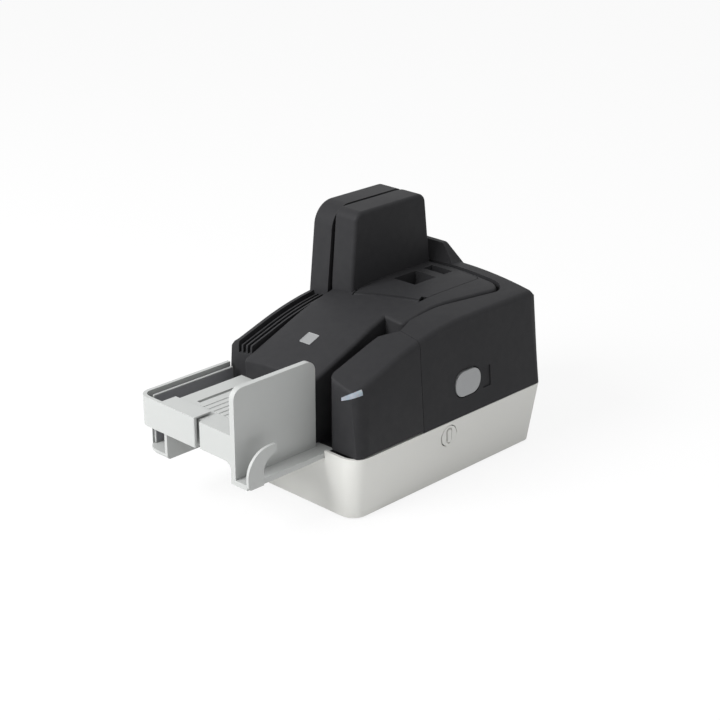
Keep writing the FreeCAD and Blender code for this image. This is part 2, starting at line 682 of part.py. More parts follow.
ISLAND_POINTS = [
    ("island_left_x", "panel_front_y", "island_front_radius"),
    ("island_front_right_x", "panel_front_y", "island_front_radius"),
    ("island_front_right_x", "notch_front_y"),
    ("notch_rear_x", "notch_rear_y"),
    ("island_right_x", "notch_rear_y", "notch_radius"),
    ("island_right_x", "island_bend_y", "bend_radius"),
    ("island_rear_right_x", "island_rear_y", "rear_right_radius"),
    ("island_left_x", "island_rear_y", "rear_left_radius"),
]
ISLAND = outline("island", "XY", ISLAND_POINTS, "path_z")
FULL_HEIGHT = "tower_top_z + overrun - path_z"
ISLAND_BLOCK = prism("island_block", ISLAND, FULL_HEIGHT)
PATH_BLOCK = prism("path_block", grown("path_edge", ISLAND, "path_gap"), FULL_HEIGHT)
GUIDE_BLOCK = prism("guide_block", grown("guide_edge", ISLAND, "path_gap + wall"), FULL_HEIGHT)
ISLAND_ROOM = prism("island_room", grown("island_inset", ISLAND, "-wall"), FULL_HEIGHT)
ISLAND_ROOM_DEEP = prism(
    "island_room_deep",
    grown("island_inset_deep", outline("island_low", "XY", ISLAND_POINTS, "path_z - overrun"), "-wall"),
    FULL_HEIGHT,
)


def roller_places():
    """Each pair of rollers: name, drive roller's place and pinch roller's place."""
    right_middle = "island_right_x + path_gap / 2"
    rear_middle = "island_rear_y + path_gap / 2"
    left_middle = "island_left_x - path_gap / 2"
    drive = "(drive_radius + part_gap / 2)"
    pinch = "(pinch_radius + part_gap / 2)"
    return [
        ("entrance", (right_middle + " - " + drive, "entrance_roller_y"),
         (right_middle + " + " + pinch, "entrance_roller_y")),
        ("rear_right", ("rear_roller_right_x", rear_middle + " - " + drive),
         ("rear_roller_right_x", rear_middle + " + " + pinch)),
        ("rear_left", ("rear_roller_left_x", rear_middle + " - " + drive),
         ("rear_roller_left_x", rear_middle + " + " + pinch)),
        ("reader", (left_middle + " + " + drive, "reader_roller_y"),
         (left_middle + " - " + pinch, "reader_roller_y")),
        ("exit", (left_middle + " + " + drive, "exit_roller_y"),
         (left_middle + " - " + pinch, "exit_roller_y")),
    ]


ROLLERS = roller_places()
ROLLER_Z = (
    "roller_bottom_z - roller_window_margin",
    "roller_bottom_z + roller_height + roller_window_margin",
)


def roller_room(name, place, radius):
    """Room for a roller in the wall that it reaches through."""
    return cylinder(
        name,
        place[0],
        place[1],
        ROLLER_Z[0],
        "(%s) + roller_window_margin" % radius,
        "(%s) - (%s)" % (ROLLER_Z[1], ROLLER_Z[0]),
    )


SCREW_PLACES = [
    ("front_screw_x", "front_screw_y"),
    ("-front_screw_x", "front_screw_y"),
    ("rear_screw_right_x", "rear_screw_y"),
    ("rear_screw_left_x", "rear_screw_y"),
]
FOOT_PLACES = [
    (side + "(base_half_x - foot_inset_x)", end + "(base_half_y - foot_inset_y)")
    for side in ("", "-") for end in ("", "-")
] + [("0", "0")]
REAR_WALL = ("base_half_y - overrun", "seam_rear_y + overrun")
BOARD_Z = "(foot_height + base_floor + standoff)"
SOCKET_Z = "(foot_height + base_floor + standoff + board_thickness)"
SHELF_Z = "(roller_bottom_z + roller_height + roller_window_margin)"
DOOR_END_Y = "(reader_pin_y - post_radius - seam_gap)"
HEAD_X = "(island_right_x + path_gap + path_gap / 8)"
POST_CORNER = ("reader_pin_x - post_radius", "reader_pin_y - post_radius")
POST_OUTLINE = outline("post_outline", "XY", [
    (POST_CORNER[0], POST_CORNER[1], "post_radius"),
    ("post_right_x", POST_CORNER[1]),
    ("post_right_x", "form_rear_y"),
    (POST_CORNER[0], "form_rear_y"),
], COVER_Z)
POST_CLEARANCE = prism("post_clearance", grown("post_gap", POST_OUTLINE, "seam_gap"), COVER_HEIGHT)


def lower_housing():
    """The light grey tub: drafted walls, floor, posts for the plate and openings for what passes."""
    body = DOC.addObject("PartDesign::Body", "tub")
    bottom = rounded("base_half_x", "-base_half_y", "base_half_y", "base_corner", "base_rear_corner")
    seam = rounded("seam_half_x", "seam_front_y", "seam_rear_y", "seam_corner", "seam_rear_corner")
    loft = body.newObject("PartDesign::AdditiveLoft", "tub_loft")
    loft.Profile = outline("tub_bottom", "XY", bottom, "foot_height", body)
    loft.Sections = [outline("tub_top", "XY", seam, "seam_z", body)]
    loft.Ruled = True
    inner_bottom = rounded(
        "base_half_x - base_wall",
        "base_wall - base_half_y",
        "base_half_y - base_wall",
        "base_corner - base_wall",
        "base_rear_corner - base_wall",
    )
    inner_seam = rounded(
        "seam_half_x - base_wall",
        "seam_front_y + base_wall",
        "seam_rear_y - base_wall",
        "seam_corner - base_wall",
        "seam_rear_corner - base_wall",
    )
    room = body.newObject("PartDesign::SubtractiveLoft", "tub_room")
    room.Profile = outline("room_bottom", "XY", inner_bottom, "foot_height + base_floor", body)
    room.Sections = [outline("room_top", "XY", inner_seam, "seam_z", body)]
    room.Ruled = True
    floor = "foot_height + base_floor"
    posts = [
        cylinder("plate_post", x, y, floor, "boss_radius", "plate_bottom_z - (%s)" % floor)
        for x, y in SCREW_PLACES
    ]
    posts += [
        cylinder("board_post", x, y, floor, "standoff_radius", "standoff")
        for x, y in board_corners()
    ]
    holes = [
        cylinder("thread", x, y, "plate_bottom_z - screw_depth", "screw_radius", "screw_depth + overrun")
        for x, y in SCREW_PLACES
    ]
    holes += [
        cylinder("foot_recess", x, y, "0", "foot_radius", "foot_height + foot_seat")
        for x, y in FOOT_PLACES
    ]
    holes += [
        box("vent", ("vent_x + vent_pitch * %d" % k, "vent_x + vent_pitch * %d + vent_width" % k),
            ("vent_y", "vent_y + vent_length"), ("0", "(%s) + overrun / 3" % floor))
        for k in range(int(size("vents")))
    ]
    holes.append(box("label_recess", ("-label_width / 2", "label_width / 2"),
                     ("label_y", "label_y + label_length"), ("0", "foot_height + label_depth")))
    front = ("seam_front_y - overrun", "seam_front_y + overrun * 2")
    holes += [
        box("exit_notch", ("exit_left_x - seam_gap", "exit_right_x + seam_gap"), front,
            ("exit_bottom_z - part_gap", "seam_z + overrun")),
        box("hopper_notch", ("divider_left_x - seam_gap", "hopper_right_x + seam_gap"), front,
            ("hopper_floor_z - part_gap", "seam_z + overrun")),
        cylinder("power_hole", "base_half_x - overrun", "power_y", "power_z", "power_radius + power_gap",
                 "overrun * 2", "x"),
        box("inlet_hole", ("inlet_x - part_gap", "inlet_x + inlet_width + part_gap"), REAR_WALL,
            (SOCKET_Z + " - part_gap", SOCKET_Z + " + inlet_height + part_gap")),
        box("socket_hole", ("socket_x - part_gap", "socket_x + socket_width + part_gap"), REAR_WALL,
            (SOCKET_Z + " - part_gap", SOCKET_Z + " + socket_height + part_gap")),
    ]
    part("lower_housing", cut("lower_housing_cut", fuse("tub_and_posts", body, *posts), *holes))


def board_corners():
    """Where the posts under the circuit board stand."""
    return [
        (x, y)
        for x in ("board_left_x + standoff_inset", "board_right_x - standoff_inset")
        for y in ("board_front_y + standoff_inset", "board_rear_y - inlet_depth - standoff_inset")
    ]


def feet_and_screws():
    """Five rubber feet in their recesses, and the four screws of the track plate."""
    feet = [
        cylinder("foot", x, y, "0", "foot_radius - part_gap / 3", "foot_height + foot_seat")
        for x, y in FOOT_PLACES
    ]
    part("rubber_feet", fuse("feet", *feet))
    screws = []
    for x, y in SCREW_PLACES:
        shank = cylinder("shank", x, y, "plate_bottom_z - screw_depth + screw_head",
                         "screw_radius - bearing_gap", "path_z - plate_bottom_z + screw_depth")
        head = cylinder("head", x, y, "path_z", "screw_head_radius", "screw_head")
        screws.append(fuse("screw", shank, head))
    part("plate_screws", fuse("screws", *screws))


def electronics():
    """The circuit board on its posts, with the power inlet and the data socket at the rear."""
    board = box("board", ("board_left_x", "board_right_x"), ("board_front_y", "board_rear_y"),
                (BOARD_Z, SOCKET_Z))
    part("circuit_board", board)
    rear = "base_half_y + part_gap"
    inlet = box("inlet_block", ("inlet_x", "inlet_x + inlet_width"), (rear + " - inlet_depth", rear),
                (SOCKET_Z, SOCKET_Z + " + inlet_height"))
    middle = ("inlet_x + inlet_width / 2", SOCKET_Z + " + inlet_height / 2")
    bore = cylinder("inlet_bore_cut", middle[0], rear + " + overrun", middle[1], "inlet_bore",
                    "inlet_depth / 2 + overrun", "-y")
    contact = cylinder("inlet_pin", middle[0], rear, middle[1], "inlet_pin_radius",
                       "inlet_depth * 2 / 3", "-y")
    part("power_inlet", fuse("inlet_with_pin", cut("inlet_shell", inlet, bore), contact))
    socket = box("socket_block", ("socket_x", "socket_x + socket_width"), (rear + " - inlet_depth", rear),
                 (SOCKET_Z, SOCKET_Z + " + socket_height"))
    mouth = box(
        "socket_mouth",
        ("socket_x + (socket_width - socket_bore_width) / 2",
         "socket_x + (socket_width + socket_bore_width) / 2"),
        (rear + " - socket_bore_depth", rear + " + overrun"),
        (SOCKET_Z + " + (socket_height - socket_bore_height) / 2",
         SOCKET_Z + " + (socket_height + socket_bore_height) / 2"),
    )
    part("data_socket", cut("socket_shell", socket, mouth))


def track_plate():
    """The black plate that the document runs on, with its bearings and the cartridge's seat."""
    inset = "base_wall + part_gap + (seam_z - plate_bottom_z) * rear_lean / seam_z * 3 / 2"
    corners = rounded(
        "seam_half_x - (%s)" % inset,
        "seam_front_y + (%s)" % inset,
        "seam_rear_y - (%s)" % inset,
        "seam_corner - base_wall",
        "seam_rear_corner - base_wall",
    )
    plate = prism("plate", outline("plate_outline", "XY", corners, "plate_bottom_z"),
                  "path_z - plate_bottom_z")
    seat = box("cartridge_seat", ("cartridge_left_x", "cartridge_left_x + cartridge_width"),
               ("cartridge_nose_y", "island_rear_y - wall"), ("plate_bottom_z", "cartridge_bottom_z"))
    cuts = [
        box("tray_notch_left", ("-form_half_x", "exit_right_x + seam_gap"),
            ("seam_front_y - overrun", "tray_rear_end_y"), ("exit_bottom_z", "seam_z")),
        box("tray_notch_right", ("divider_left_x - seam_gap", "hopper_right_x + seam_gap"),
            ("seam_front_y - overrun", "tray_rear_end_y"), ("exit_bottom_z", "seam_z")),
    ]
    radius = "shaft_radius + bearing_gap"
    depth = "path_z - plate_bottom_z + overrun * 2"
    for x, y in [drive for name, drive, pinch in ROLLERS] + [("feed_x", "feed_y")]:
        cuts.append(cylinder("bearing", x, y, "plate_bottom_z - overrun", radius, depth))
    for x, y in SCREW_PLACES:
        cuts.append(cylinder("screw_hole", x, y, "plate_bottom_z - overrun", "screw_radius", depth))
    for x, y in (("cover_pin_x", "cover_pin_y"), ("reader_pin_x", "reader_pin_y")):
        cuts.append(cylinder("pin_hole", x, y, "plate_bottom_z - overrun", "pin_radius", depth))
    cuts.append(cylinder("power_room", "power_face_x - power_depth - overrun", "power_y", "power_z",
                         "power_radius + power_gap", "overrun * 4", "x"))
    part("track_plate", cut("track_plate_cut", fuse("plate_and_seat", plate, seat), *cuts))


def hinge_pins():
    """Steel pins of the two upright hinges, pressed into the track plate."""
    for name, x, y in (
        ("transport_hinge_pin", "cover_pin_x", "cover_pin_y"),
        ("reader_hinge_pin", "reader_pin_x", "reader_pin_y"),
    ):
        part(name, cylinder(name, x, y, "plate_bottom_z", "pin_radius", "pin_top_z - plate_bottom_z"))


def rear_post():
    """The fixed corner post behind the reader, which both upright hinges turn about."""
    block = prism("post_block", POST_OUTLINE, COVER_HEIGHT)
    pocket = cylinder("door_pocket", "cover_pin_x", "cover_pin_y", "path_z - overrun",
                      "cover_end_radius + seam_gap", "tower_top_z")
    strip = box("door_strip", ("cover_pin_x", "form_half_x"),
                ("cover_pin_y - cover_end_radius - seam_gap", "form_rear_y"), ("path_z", "tower_top_z"))
    bore = cylinder("post_pin_bore", "reader_pin_x", "reader_pin_y", "path_z", "pin_radius",
                    "pin_top_z - path_z")
    slots = [
        box("knuckle_slot", ("-form_half_x", "reader_pin_x + knuckle_radius + part_gap"),
            ("island_front_right_x", "reader_pin_y + knuckle_radius + part_gap"),
            (level + " - part_gap", level + " + knuckle_height + part_gap"))
        for level in ("lower_knuckle_z", "upper_knuckle_z")
    ]
    blank = common("post_blank", COVERS, block)
    tower = box("tower_room", ("tower_left_x - part_gap", "post_right_x + overrun"),
                ("island_front_right_x", "hump_front_y - path_gap / 2"),
                ("outer_step_z - part_gap", "tower_top_z"))
    part("rear_post", cut("rear_post_cut", blank, PATH_BLOCK, pocket, strip, bore, tower, *slots))


def centre_form():
    """The outside of the centre cover: its own slope under the same sides, with a rounded lip."""
    slope = crown("panel_crown", "top_z", "panel_angle", "panel_knee_radius", "panel_knee_end_y",
                  "panel_run")
    blank = common("panel_blank", slope, ISLAND_BLOCK)
    low = size("seam_z + slope_run / 3")

    def lip(bounds):
        front = size("panel_front_y + overrun")
        return bounds.ZMin > low and bounds.YMax < front

    return fillet("panel_form", blank, "panel_lip_radius / 2", lip)


def panel_z(x, y):
    """The height of the centre cover's top, where its slope has rounded into the level top."""
    fall = "((panel_knee_end_y - (%s)) * (panel_knee_end_y - (%s)) / 2 / panel_knee_radius)" % (y, y)
    crown_fall = "((%s) * (%s) / 2 / crown_radius)" % (x, x)
    return "top_z - %s - %s" % (fall, crown_fall)


LID_LEFT = (
    "lid_left_x",
    "lid_front_left_y",
    panel_z("lid_left_x", "lid_front_left_y") + " - lid_hinge_radius",
)
LID_RIGHT = (
    "lid_right_x",
    "lid_front_right_y",
    panel_z("lid_right_x", "lid_front_right_y") + " - lid_hinge_radius",
)


def lid_outline(name, growth="0"):
    """The outline of the imprinter lid, square behind a front edge that runs askew."""
    return outline(name, "XY", [
        ("lid_left_x - (%s)" % growth, "lid_front_left_y - (%s)" % growth),
        ("lid_right_x + (%s)" % growth, "lid_front_right_y - (%s)" % growth),
        ("lid_right_x + (%s)" % growth, "lid_rear_y + (%s)" % growth, "island_front_radius"),
        ("lid_left_x - (%s)" % growth, "lid_rear_y + (%s)" % growth, "island_front_radius"),
    ], "path_z")


def about_lid_hinge(name, radius, left_reach="0", right_reach="0"):
    """A cylinder about the lid's hinge line, which passes the ends of the line by the two reaches."""
    left = Vector(*[size(text) for text in LID_LEFT])
    right = Vector(*[size(text) for text in LID_RIGHT])
    length = (right - left).Length
    along = (right - left).normalize()
    inward = Vector(-along.y, along.x, 0).normalize()
    before = size(left_reach)
    start = left + inward * size("lid_hinge_radius") - along * before
    feature = DOC.addObject("Part::Feature", name)
    feature.Shape = Part.makeCylinder(size(radius), before + length + size(right_reach), start, along)
    return feature


def centre_cover():
    """The fixed cover inside the path, from the sloping panel to the lid's opening."""
    form = centre_form()
    under = crown("panel_room_crown", "top_z - top_wall", "panel_angle", "panel_knee_radius",
                  "panel_knee_end_y", "panel_run")
    room = common("panel_room", under, ISLAND_ROOM)
    tower = box("tower_footprint", ("-form_half_x", "tower_right_x"), ("tower_foot_y", "form_rear_y"),
                ("path_z", "tower_top_z"))
    below = box("below_seam", ("-form_half_x", "form_half_x"), ("-form_rear_y", "form_rear_y"),
                ("path_z - overrun", "path_z"))
    recess = prism("lid_recess", lid_outline("recess_outline", "seam_gap"), FULL_HEIGHT)
    lid_under = crown("lid_under_crown", "top_z - lid_thickness - part_gap", "panel_angle",
                      "panel_knee_radius", "panel_knee_end_y", "panel_run")
    opening = prism("lid_opening", lid_outline("opening_outline", "-lid_ledge"), FULL_HEIGHT)
    hinge_room = about_lid_hinge("hinge_room", "lid_room_radius")
    pin_room = about_lid_hinge("pin_room", "lid_pin_radius + bearing_gap", "lid_pin_reach", "lid_pin_reach")
    shell = cut("panel_shell", form, room)
    shell = cut("panel_shell_cut", shell, tower, below, cut("recess_cut", recess, lid_under), opening,
                hinge_room, pin_room, *island_windows())
    part("centre_cover", shell)


def island_windows():
    """Windows where the drive rollers, the feed roller and the cartridge's nose reach the path."""
    windows = [
        roller_room(name + "_window", drive, "drive_radius")
        for name, drive, pinch in ROLLERS if name != "reader"
    ]
    windows.append(roller_room("feed_window", ("feed_x", "feed_y"), "feed_radius"))
    windows.append(box("nose_window", (
        "cartridge_left_x - part_gap", "cartridge_left_x + cartridge_width + part_gap"),
        ("cartridge_nose_y", "island_rear_y + overrun / 3"),
        ("path_z", "cartridge_step_z + part_gap")))
    return windows


def imprinter_lid():
    """The hinged lid over the ink cartridge, with two finger scoops that leave a grip between them."""
    top = crown("lid_crown", "top_z", "panel_angle", "panel_knee_radius", "panel_knee_end_y", "panel_run")
    under = crown("lid_inner_crown", "top_z - lid_thickness", "panel_angle", "panel_knee_radius",
                  "panel_knee_end_y", "panel_run")
    block = prism("lid_block", lid_outline("lid_edge"), FULL_HEIGHT)
    edge = about_lid_hinge("lid_front_edge", "lid_hinge_radius")
    behind = prism("behind_edge", outline("behind_outline", "XY", [
        ("lid_left_x", "lid_front_left_y + lid_hinge_radius"),
        ("lid_right_x", "lid_front_right_y + lid_hinge_radius"),
        ("lid_right_x", "lid_rear_y"),
        ("lid_left_x", "lid_rear_y"),
    ], "path_z"), FULL_HEIGHT)
    plate = cut("lid_plate", common("lid_blank", top, block, behind), under)
    barrel = common("lid_barrel", edge, block)
    tubs = []
    pockets = []
    for front, length in (("front_scoop_y", "front_scoop_length"), ("rear_scoop_y", "rear_scoop_length")):
        tubs.append(scoop(front, length, "scoop_wall"))
        pockets.append(scoop(front, length, "0"))
    tubs = common("scoop_tubs", fuse("tubs", *tubs), top)
    pin = about_lid_hinge("lid_bore", "lid_pin_radius + bearing_gap", "overrun", "overrun")
    # The right side is askew to the hinge, so its front corner would swing into the cover.
    corner = cut("lid_corner", about_lid_hinge("lid_corner_end", "lid_corner_radius", "0", "overrun"),
                 about_lid_hinge("lid_corner_kept", "lid_corner_radius + overrun", "overrun",
                                 "-lid_corner_inset"))
    lid = fuse("lid_fuse", plate, barrel, tubs)
    part("imprinter_lid", cut("lid_cut", lid, fuse("pockets", *pockets), pin, corner))
    part("lid_hinge_pin", about_lid_hinge("lid_pin", "lid_pin_radius", "lid_pin_reach", "lid_pin_reach"))


def scoop(front, length, growth):
    """A finger scoop: an upright wall at the left and a floor that ramps up to the right."""
    profile = outline("scoop_profile", "XZ", [
        ("scoop_left_x - (%s)" % growth, "top_z - scoop_depth - (%s)" % growth),
        ("(scoop_left_x + scoop_right_x) / 2 + (%s)" % growth, "top_z - scoop_depth - (%s)" % growth),
        ("scoop_right_x + (%s)" % growth, "top_z - (%s)" % growth),
        ("scoop_right_x + (%s)" % growth, "top_z + overrun"),
        ("scoop_left_x - (%s)" % growth, "top_z + overrun"),
    ], "%s - (%s)" % (front, growth))
    return prism("scoop", profile, "%s + (%s) * 2" % (length, growth), "y")


def ink_cartridge():
    """The imprinter's ink cartridge: a tall body with a nose that reaches the path."""
    profile = outline("cartridge_profile", "YZ", [
        ("cartridge_nose_y", "cartridge_bottom_z", "cartridge_radius"),
        ("island_rear_y - part_gap", "cartridge_bottom_z", "cartridge_radius / 2"),
        ("island_rear_y - part_gap", "cartridge_step_z - part_gap", "cartridge_radius / 2"),
        ("island_rear_y - wall - part_gap", "cartridge_step_z - part_gap"),
        ("island_rear_y - wall - part_gap", "cartridge_top_z", "cartridge_radius"),
        ("cartridge_front_y", "cartridge_top_z", "cartridge_radius"),
        ("cartridge_front_y", "cartridge_step_z", "cartridge_radius"),
        ("cartridge_nose_y", "cartridge_step_z"),
    ], "cartridge_left_x")
    part("ink_cartridge", prism("cartridge", profile, "cartridge_width", "x"))


def tower_half(name, points, low_x, high_x, outer_low):
    """One half of the reader: a leaning profile drawn across, with soft outer edges."""
    profile = outline(name + "_profile", "YZ", points, low_x)
    block = prism(name + "_block", profile, "(%s) - (%s)" % (high_x, low_x), "x")
    face = size(low_x if outer_low else high_x)
    floor = size("path_z + wall")

    def outer(bounds):
        return abs(bounds.XMin - face) < NEAR and bounds.XLength < NEAR and bounds.ZMin > floor

    return fillet(name + "_form", block, "tower_edge", outer), profile


def inner_reader_housing():
    """The fixed half of the reader tower, with the window of its image sensor."""
    form, profile = tower_half("inner_tower", [
        ("tower_foot_y", "path_z"),
        ("tower_foot_y", "top_z"),
        ("tower_front_y", "tower_top_z", "tower_radius"),
        ("tower_rear_y", "tower_top_z", "tower_radius"),
        ("island_rear_y", "top_z"),
        ("island_rear_y", "path_z"),
    ], "island_left_x", "tower_right_x", False)
    inset = grown("inner_tower_inset", profile, "-wall")
    room = prism("inner_tower_room", inset, "tower_right_x - wall - island_left_x", "x")
    foot = box("inner_tower_foot", ("island_left_x + wall", "tower_right_x - wall"),
               ("tower_foot_y + wall", "island_rear_y - wall"), ("path_z - overrun", "path_z + overrun"))
    room = common("inner_tower_hollow", fuse("inner_tower_rooms", room, foot), ISLAND_ROOM_DEEP)
    windows = [
        box("inner_sensor_window", ("island_left_x - overrun", "island_left_x + overrun"),
            ("sensor_y - part_gap", "sensor_y + sensor_width + part_gap"),
            ("sensor_bottom_z - part_gap", "sensor_top_z + part_gap")),
    ]
    windows += [
        roller_room("reader_window", drive, "drive_radius")
        for name, drive, pinch in ROLLERS if name == "reader"
    ]
    shape = common("inner_tower_trimmed", form, ISLAND_BLOCK)
    part("inner_reader_housing", cut("inner_tower_cut", shape, room, *windows))


def outer_reader_housing():
    """The half of the reader tower that swings away, standing on the left side cover."""
    form, profile = tower_half("outer_tower", [
        ("outer_foot_y", COVER_Z),
        ("outer_foot_y", "outer_foot_z"),
        ("outer_front_y", "tower_top_z", "outer_radius"),
        ("outer_rear_y", "tower_top_z", "tower_radius"),
        ("outer_rear_foot_y", "outer_step_z"),
        (DOOR_END_Y, "outer_step_z"),
        (DOOR_END_Y, COVER_Z),
    ], "tower_left_x", "island_left_x - path_gap", True)
    inset = grown("outer_tower_inset", profile, "-wall")
    room = prism("outer_tower_room", inset, "island_left_x - path_gap - wall - tower_left_x", "x")
    clear = box("outer_tower_clear", ("tower_left_x + wall", "island_left_x - path_gap"),
                ("-form_rear_y", "form_rear_y"), ("path_z", "tower_top_z"))
    foot = box("outer_tower_foot", ("tower_left_x + wall", "island_left_x - path_gap - wall"),
               ("outer_foot_y + wall", DOOR_END_Y + " - wall"), ("path_z", "path_z + overrun * 2"))
    windows = [
        box("outer_sensor_window", ("island_left_x - path_gap - overrun", "island_left_x"),
            ("sensor_y - part_gap", "sensor_y + sensor_width + part_gap"),
            ("sensor_bottom_z - part_gap", "sensor_top_z + part_gap")),
    ]
    windows += [
        roller_room("reader_pinch_window", pinch, "pinch_radius")
        for name, drive, pinch in ROLLERS if name == "reader"
    ]
    shell = cut("outer_tower_shell", form, common("outer_tower_hollow", room, clear), foot, *windows)
    shelf = pin_shelf("reader", "tower_left_x + wall / 2", "island_left_x - path_gap - wall / 2",
                      "reader_roller_y - pinch_radius", "reader_roller_y + pinch_radius")
    part("outer_reader_housing", fuse("outer_tower_with_shelf", shell, shelf))


def pin_shelf(name, low_x, high_x, low_y, high_y):
    """The shelf above a pinch roller, which carries its pin."""
    return box(name + "_shelf", (low_x, high_x), (low_y, high_y), (SHELF_Z, SHELF_Z + " + shelf_thickness"))


def image_sensors():
    """The two facing image sensors, each with a glass window flush with the path."""
    for name, glass_x, body_x in (
        ("inner", ("island_left_x", "island_left_x + glass"),
         ("island_left_x + glass", "island_left_x + sensor_depth")),
        ("outer", ("island_left_x - path_gap - glass", "island_left_x - path_gap"),
         ("island_left_x - path_gap - sensor_depth", "island_left_x - path_gap - glass")),
    ):
        along = ("sensor_y", "sensor_y + sensor_width")
        upright = ("sensor_bottom_z", "sensor_top_z")
        part(name + "_sensor_glass", box(name + "_glass", glass_x, along, upright))
        part(name + "_image_sensor", box(name + "_bar", body_x, along, upright))


def left_side_cover():
    """The swinging left side: a fin outside, guide ribs along the path and two hinge knuckles."""
    drops = {
        "fin": "fin_drop",
        "channel": "fin_drop + trough_drop",
        "ribs": "fin_drop + guide_rib_drop",
    }
    crowns = {
        name: crown(name + "_crown", "top_z - (%s)" % drop, "slope_angle", "knee_radius", "knee_end_y",
                    "slope_run")
        for name, drop in drops.items()
    }
    inner_x = "island_left_x - path_gap"
    length = ("fin_front_y", DOOR_END_Y)
    height = (COVER_Z, "hump_top_z")
    ditch_x = "fin_left_x + fin_thickness"
    outside = box("fin_zone", ("-form_half_x", ditch_x), length, height)
    inside = box("channel_zone", (ditch_x, inner_x), length, height)
    fin = common("fin_part", SIDES, crowns["fin"], outside)
    channel = common("channel_part", SIDES, crowns["channel"], inside)
    ribs = [
        box("rib", ("%s - guide_rib_pitch * %d - guide_rib" % (inner_x, k),
                    "%s - guide_rib_pitch * %d" % (inner_x, k)), length, height)
        for k in range(int(size("guide_ribs")))
    ]
    ribs = common("ribs_part", fuse("ribs", *ribs), crowns["ribs"])
    rebate = prism("fin_rebate", outline("rebate_outline", "XZ", [
        ("-form_half_x", "rebate_foot_z"),
        ("fin_left_x", "rebate_top_z"),
        ("fin_left_x", "tower_top_z"),
        ("-form_half_x", "tower_top_z"),
    ], "-form_rear_y"), "form_rear_y * 2", "y")
    nose = nose_cut("fin_nose", "fin_front_y", "fin_drop")
    tower = box("outer_tower_place", ("tower_left_x", "form_half_x"), ("outer_foot_y", "form_rear_y"),
                ("path_z", "tower_top_z"))
    room = box("left_room", ("left_room_x", inner_x + " - wall"),
               ("fin_front_y + wall", "outer_foot_y - wall"), ("path_z", "left_room_top_z"))
    knuckles = []
    for level in ("lower_knuckle_z", "upper_knuckle_z"):
        knuckles.append(cylinder("knuckle", "reader_pin_x", "reader_pin_y", level, "knuckle_radius",
                                 "knuckle_height"))
        knuckles.append(box("knuckle_arm",
                            ("reader_pin_x - knuckle_radius * 4 / 5", "reader_pin_x + knuckle_radius / 2"),
                            (DOOR_END_Y + " - wall", "reader_pin_y"), (level, level + " + knuckle_height")))
    bore = cylinder("knuckle_bore", "reader_pin_x", "reader_pin_y", "path_z", "pin_radius + bearing_gap",
                    "pin_top_z")
    windows = [
        roller_room("exit_pinch_window", pinch, "pinch_radius")
        for name, drive, pinch in ROLLERS if name == "exit"
    ]
    shelf = pin_shelf("exit", "exit_left_x", inner_x + " - wall / 2",
                      "exit_roller_y - pinch_radius", "exit_roller_y + pinch_radius")
    blank = fuse("left_blank", fin, channel, ribs)
    shell = cut("left_shell", blank, rebate, nose, tower, POST_CLEARANCE, room, *windows)
    door = box("outer_tower_end", ("tower_left_x", "form_half_x"), ("outer_foot_y", DOOR_END_Y),
               ("path_z", "tower_top_z"))
    knuckles = cut("knuckles_cut", common("knuckles", fuse("knuckle_group", *knuckles), SIDES), door)
    part("left_side_cover", cut("left_cover_cut", fuse("left_cover_fuse", shell, shelf, knuckles), bore))


def nose_cut(name, front, drop):
    """What a rounded nose takes away where the slope meets the front."""
    top = size("top_z - (%s)" % drop)
    slope = math.radians(size("slope_angle"))
    knee = size("knee_radius")
    corner_y = size("knee_end_y") - knee * math.tan(slope / 2)
    front_z = top - (corner_y - size(front)) * math.tan(slope)
    radius = size("nose_radius")
    reach = size("form_rear_y")
    points = [
        Vector(0, size(front), front_z - reach),
        Vector(0, size(front), front_z),
        Vector(0, size(front) + reach, front_z + reach * math.tan(slope)),
    ]
    inside = rounded_wedge(points, radius)
    cover = Part.makePolygon([
        points[0] - Vector(0, reach, 0), points[0], points[1], points[2],
        points[2] + Vector(0, 0, reach), Vector(0, points[0].y - reach, points[2].z + reach),
        points[0] - Vector(0, reach, 0),
    ])
    width = size("form_half_x")
    shape = Part.Face(cover).extrude(Vector(2 * width, 0, 0)).fuse(inside.extrude(Vector(2 * width, 0, 0)))
    feature = DOC.addObject("Part::Feature", name)
    feature.Shape = shape
    feature.Placement = Placement(Vector(-width, 0, 0), Rotation())
    return feature


def rounded_wedge(points, radius):
    """The face between a sharp corner and the arc that rounds it."""
    back = (points[0] - points[1]).normalize()
    onward = (points[2] - points[1]).normalize()
    half = back.getAngle(onward) / 2
    reach = radius / math.tan(half)
    start = points[1] + back * reach
    end = points[1] + onward * reach
    middle = points[1] + (back + onward).normalize() * (radius / math.sin(half) - radius)
    edges = [
        Part.LineSegment(points[1], start).toShape(),
        Part.Arc(start, middle, end).toShape(),
        Part.LineSegment(end, points[1]).toShape(),
    ]
    return Part.Face(Part.Wire(edges))


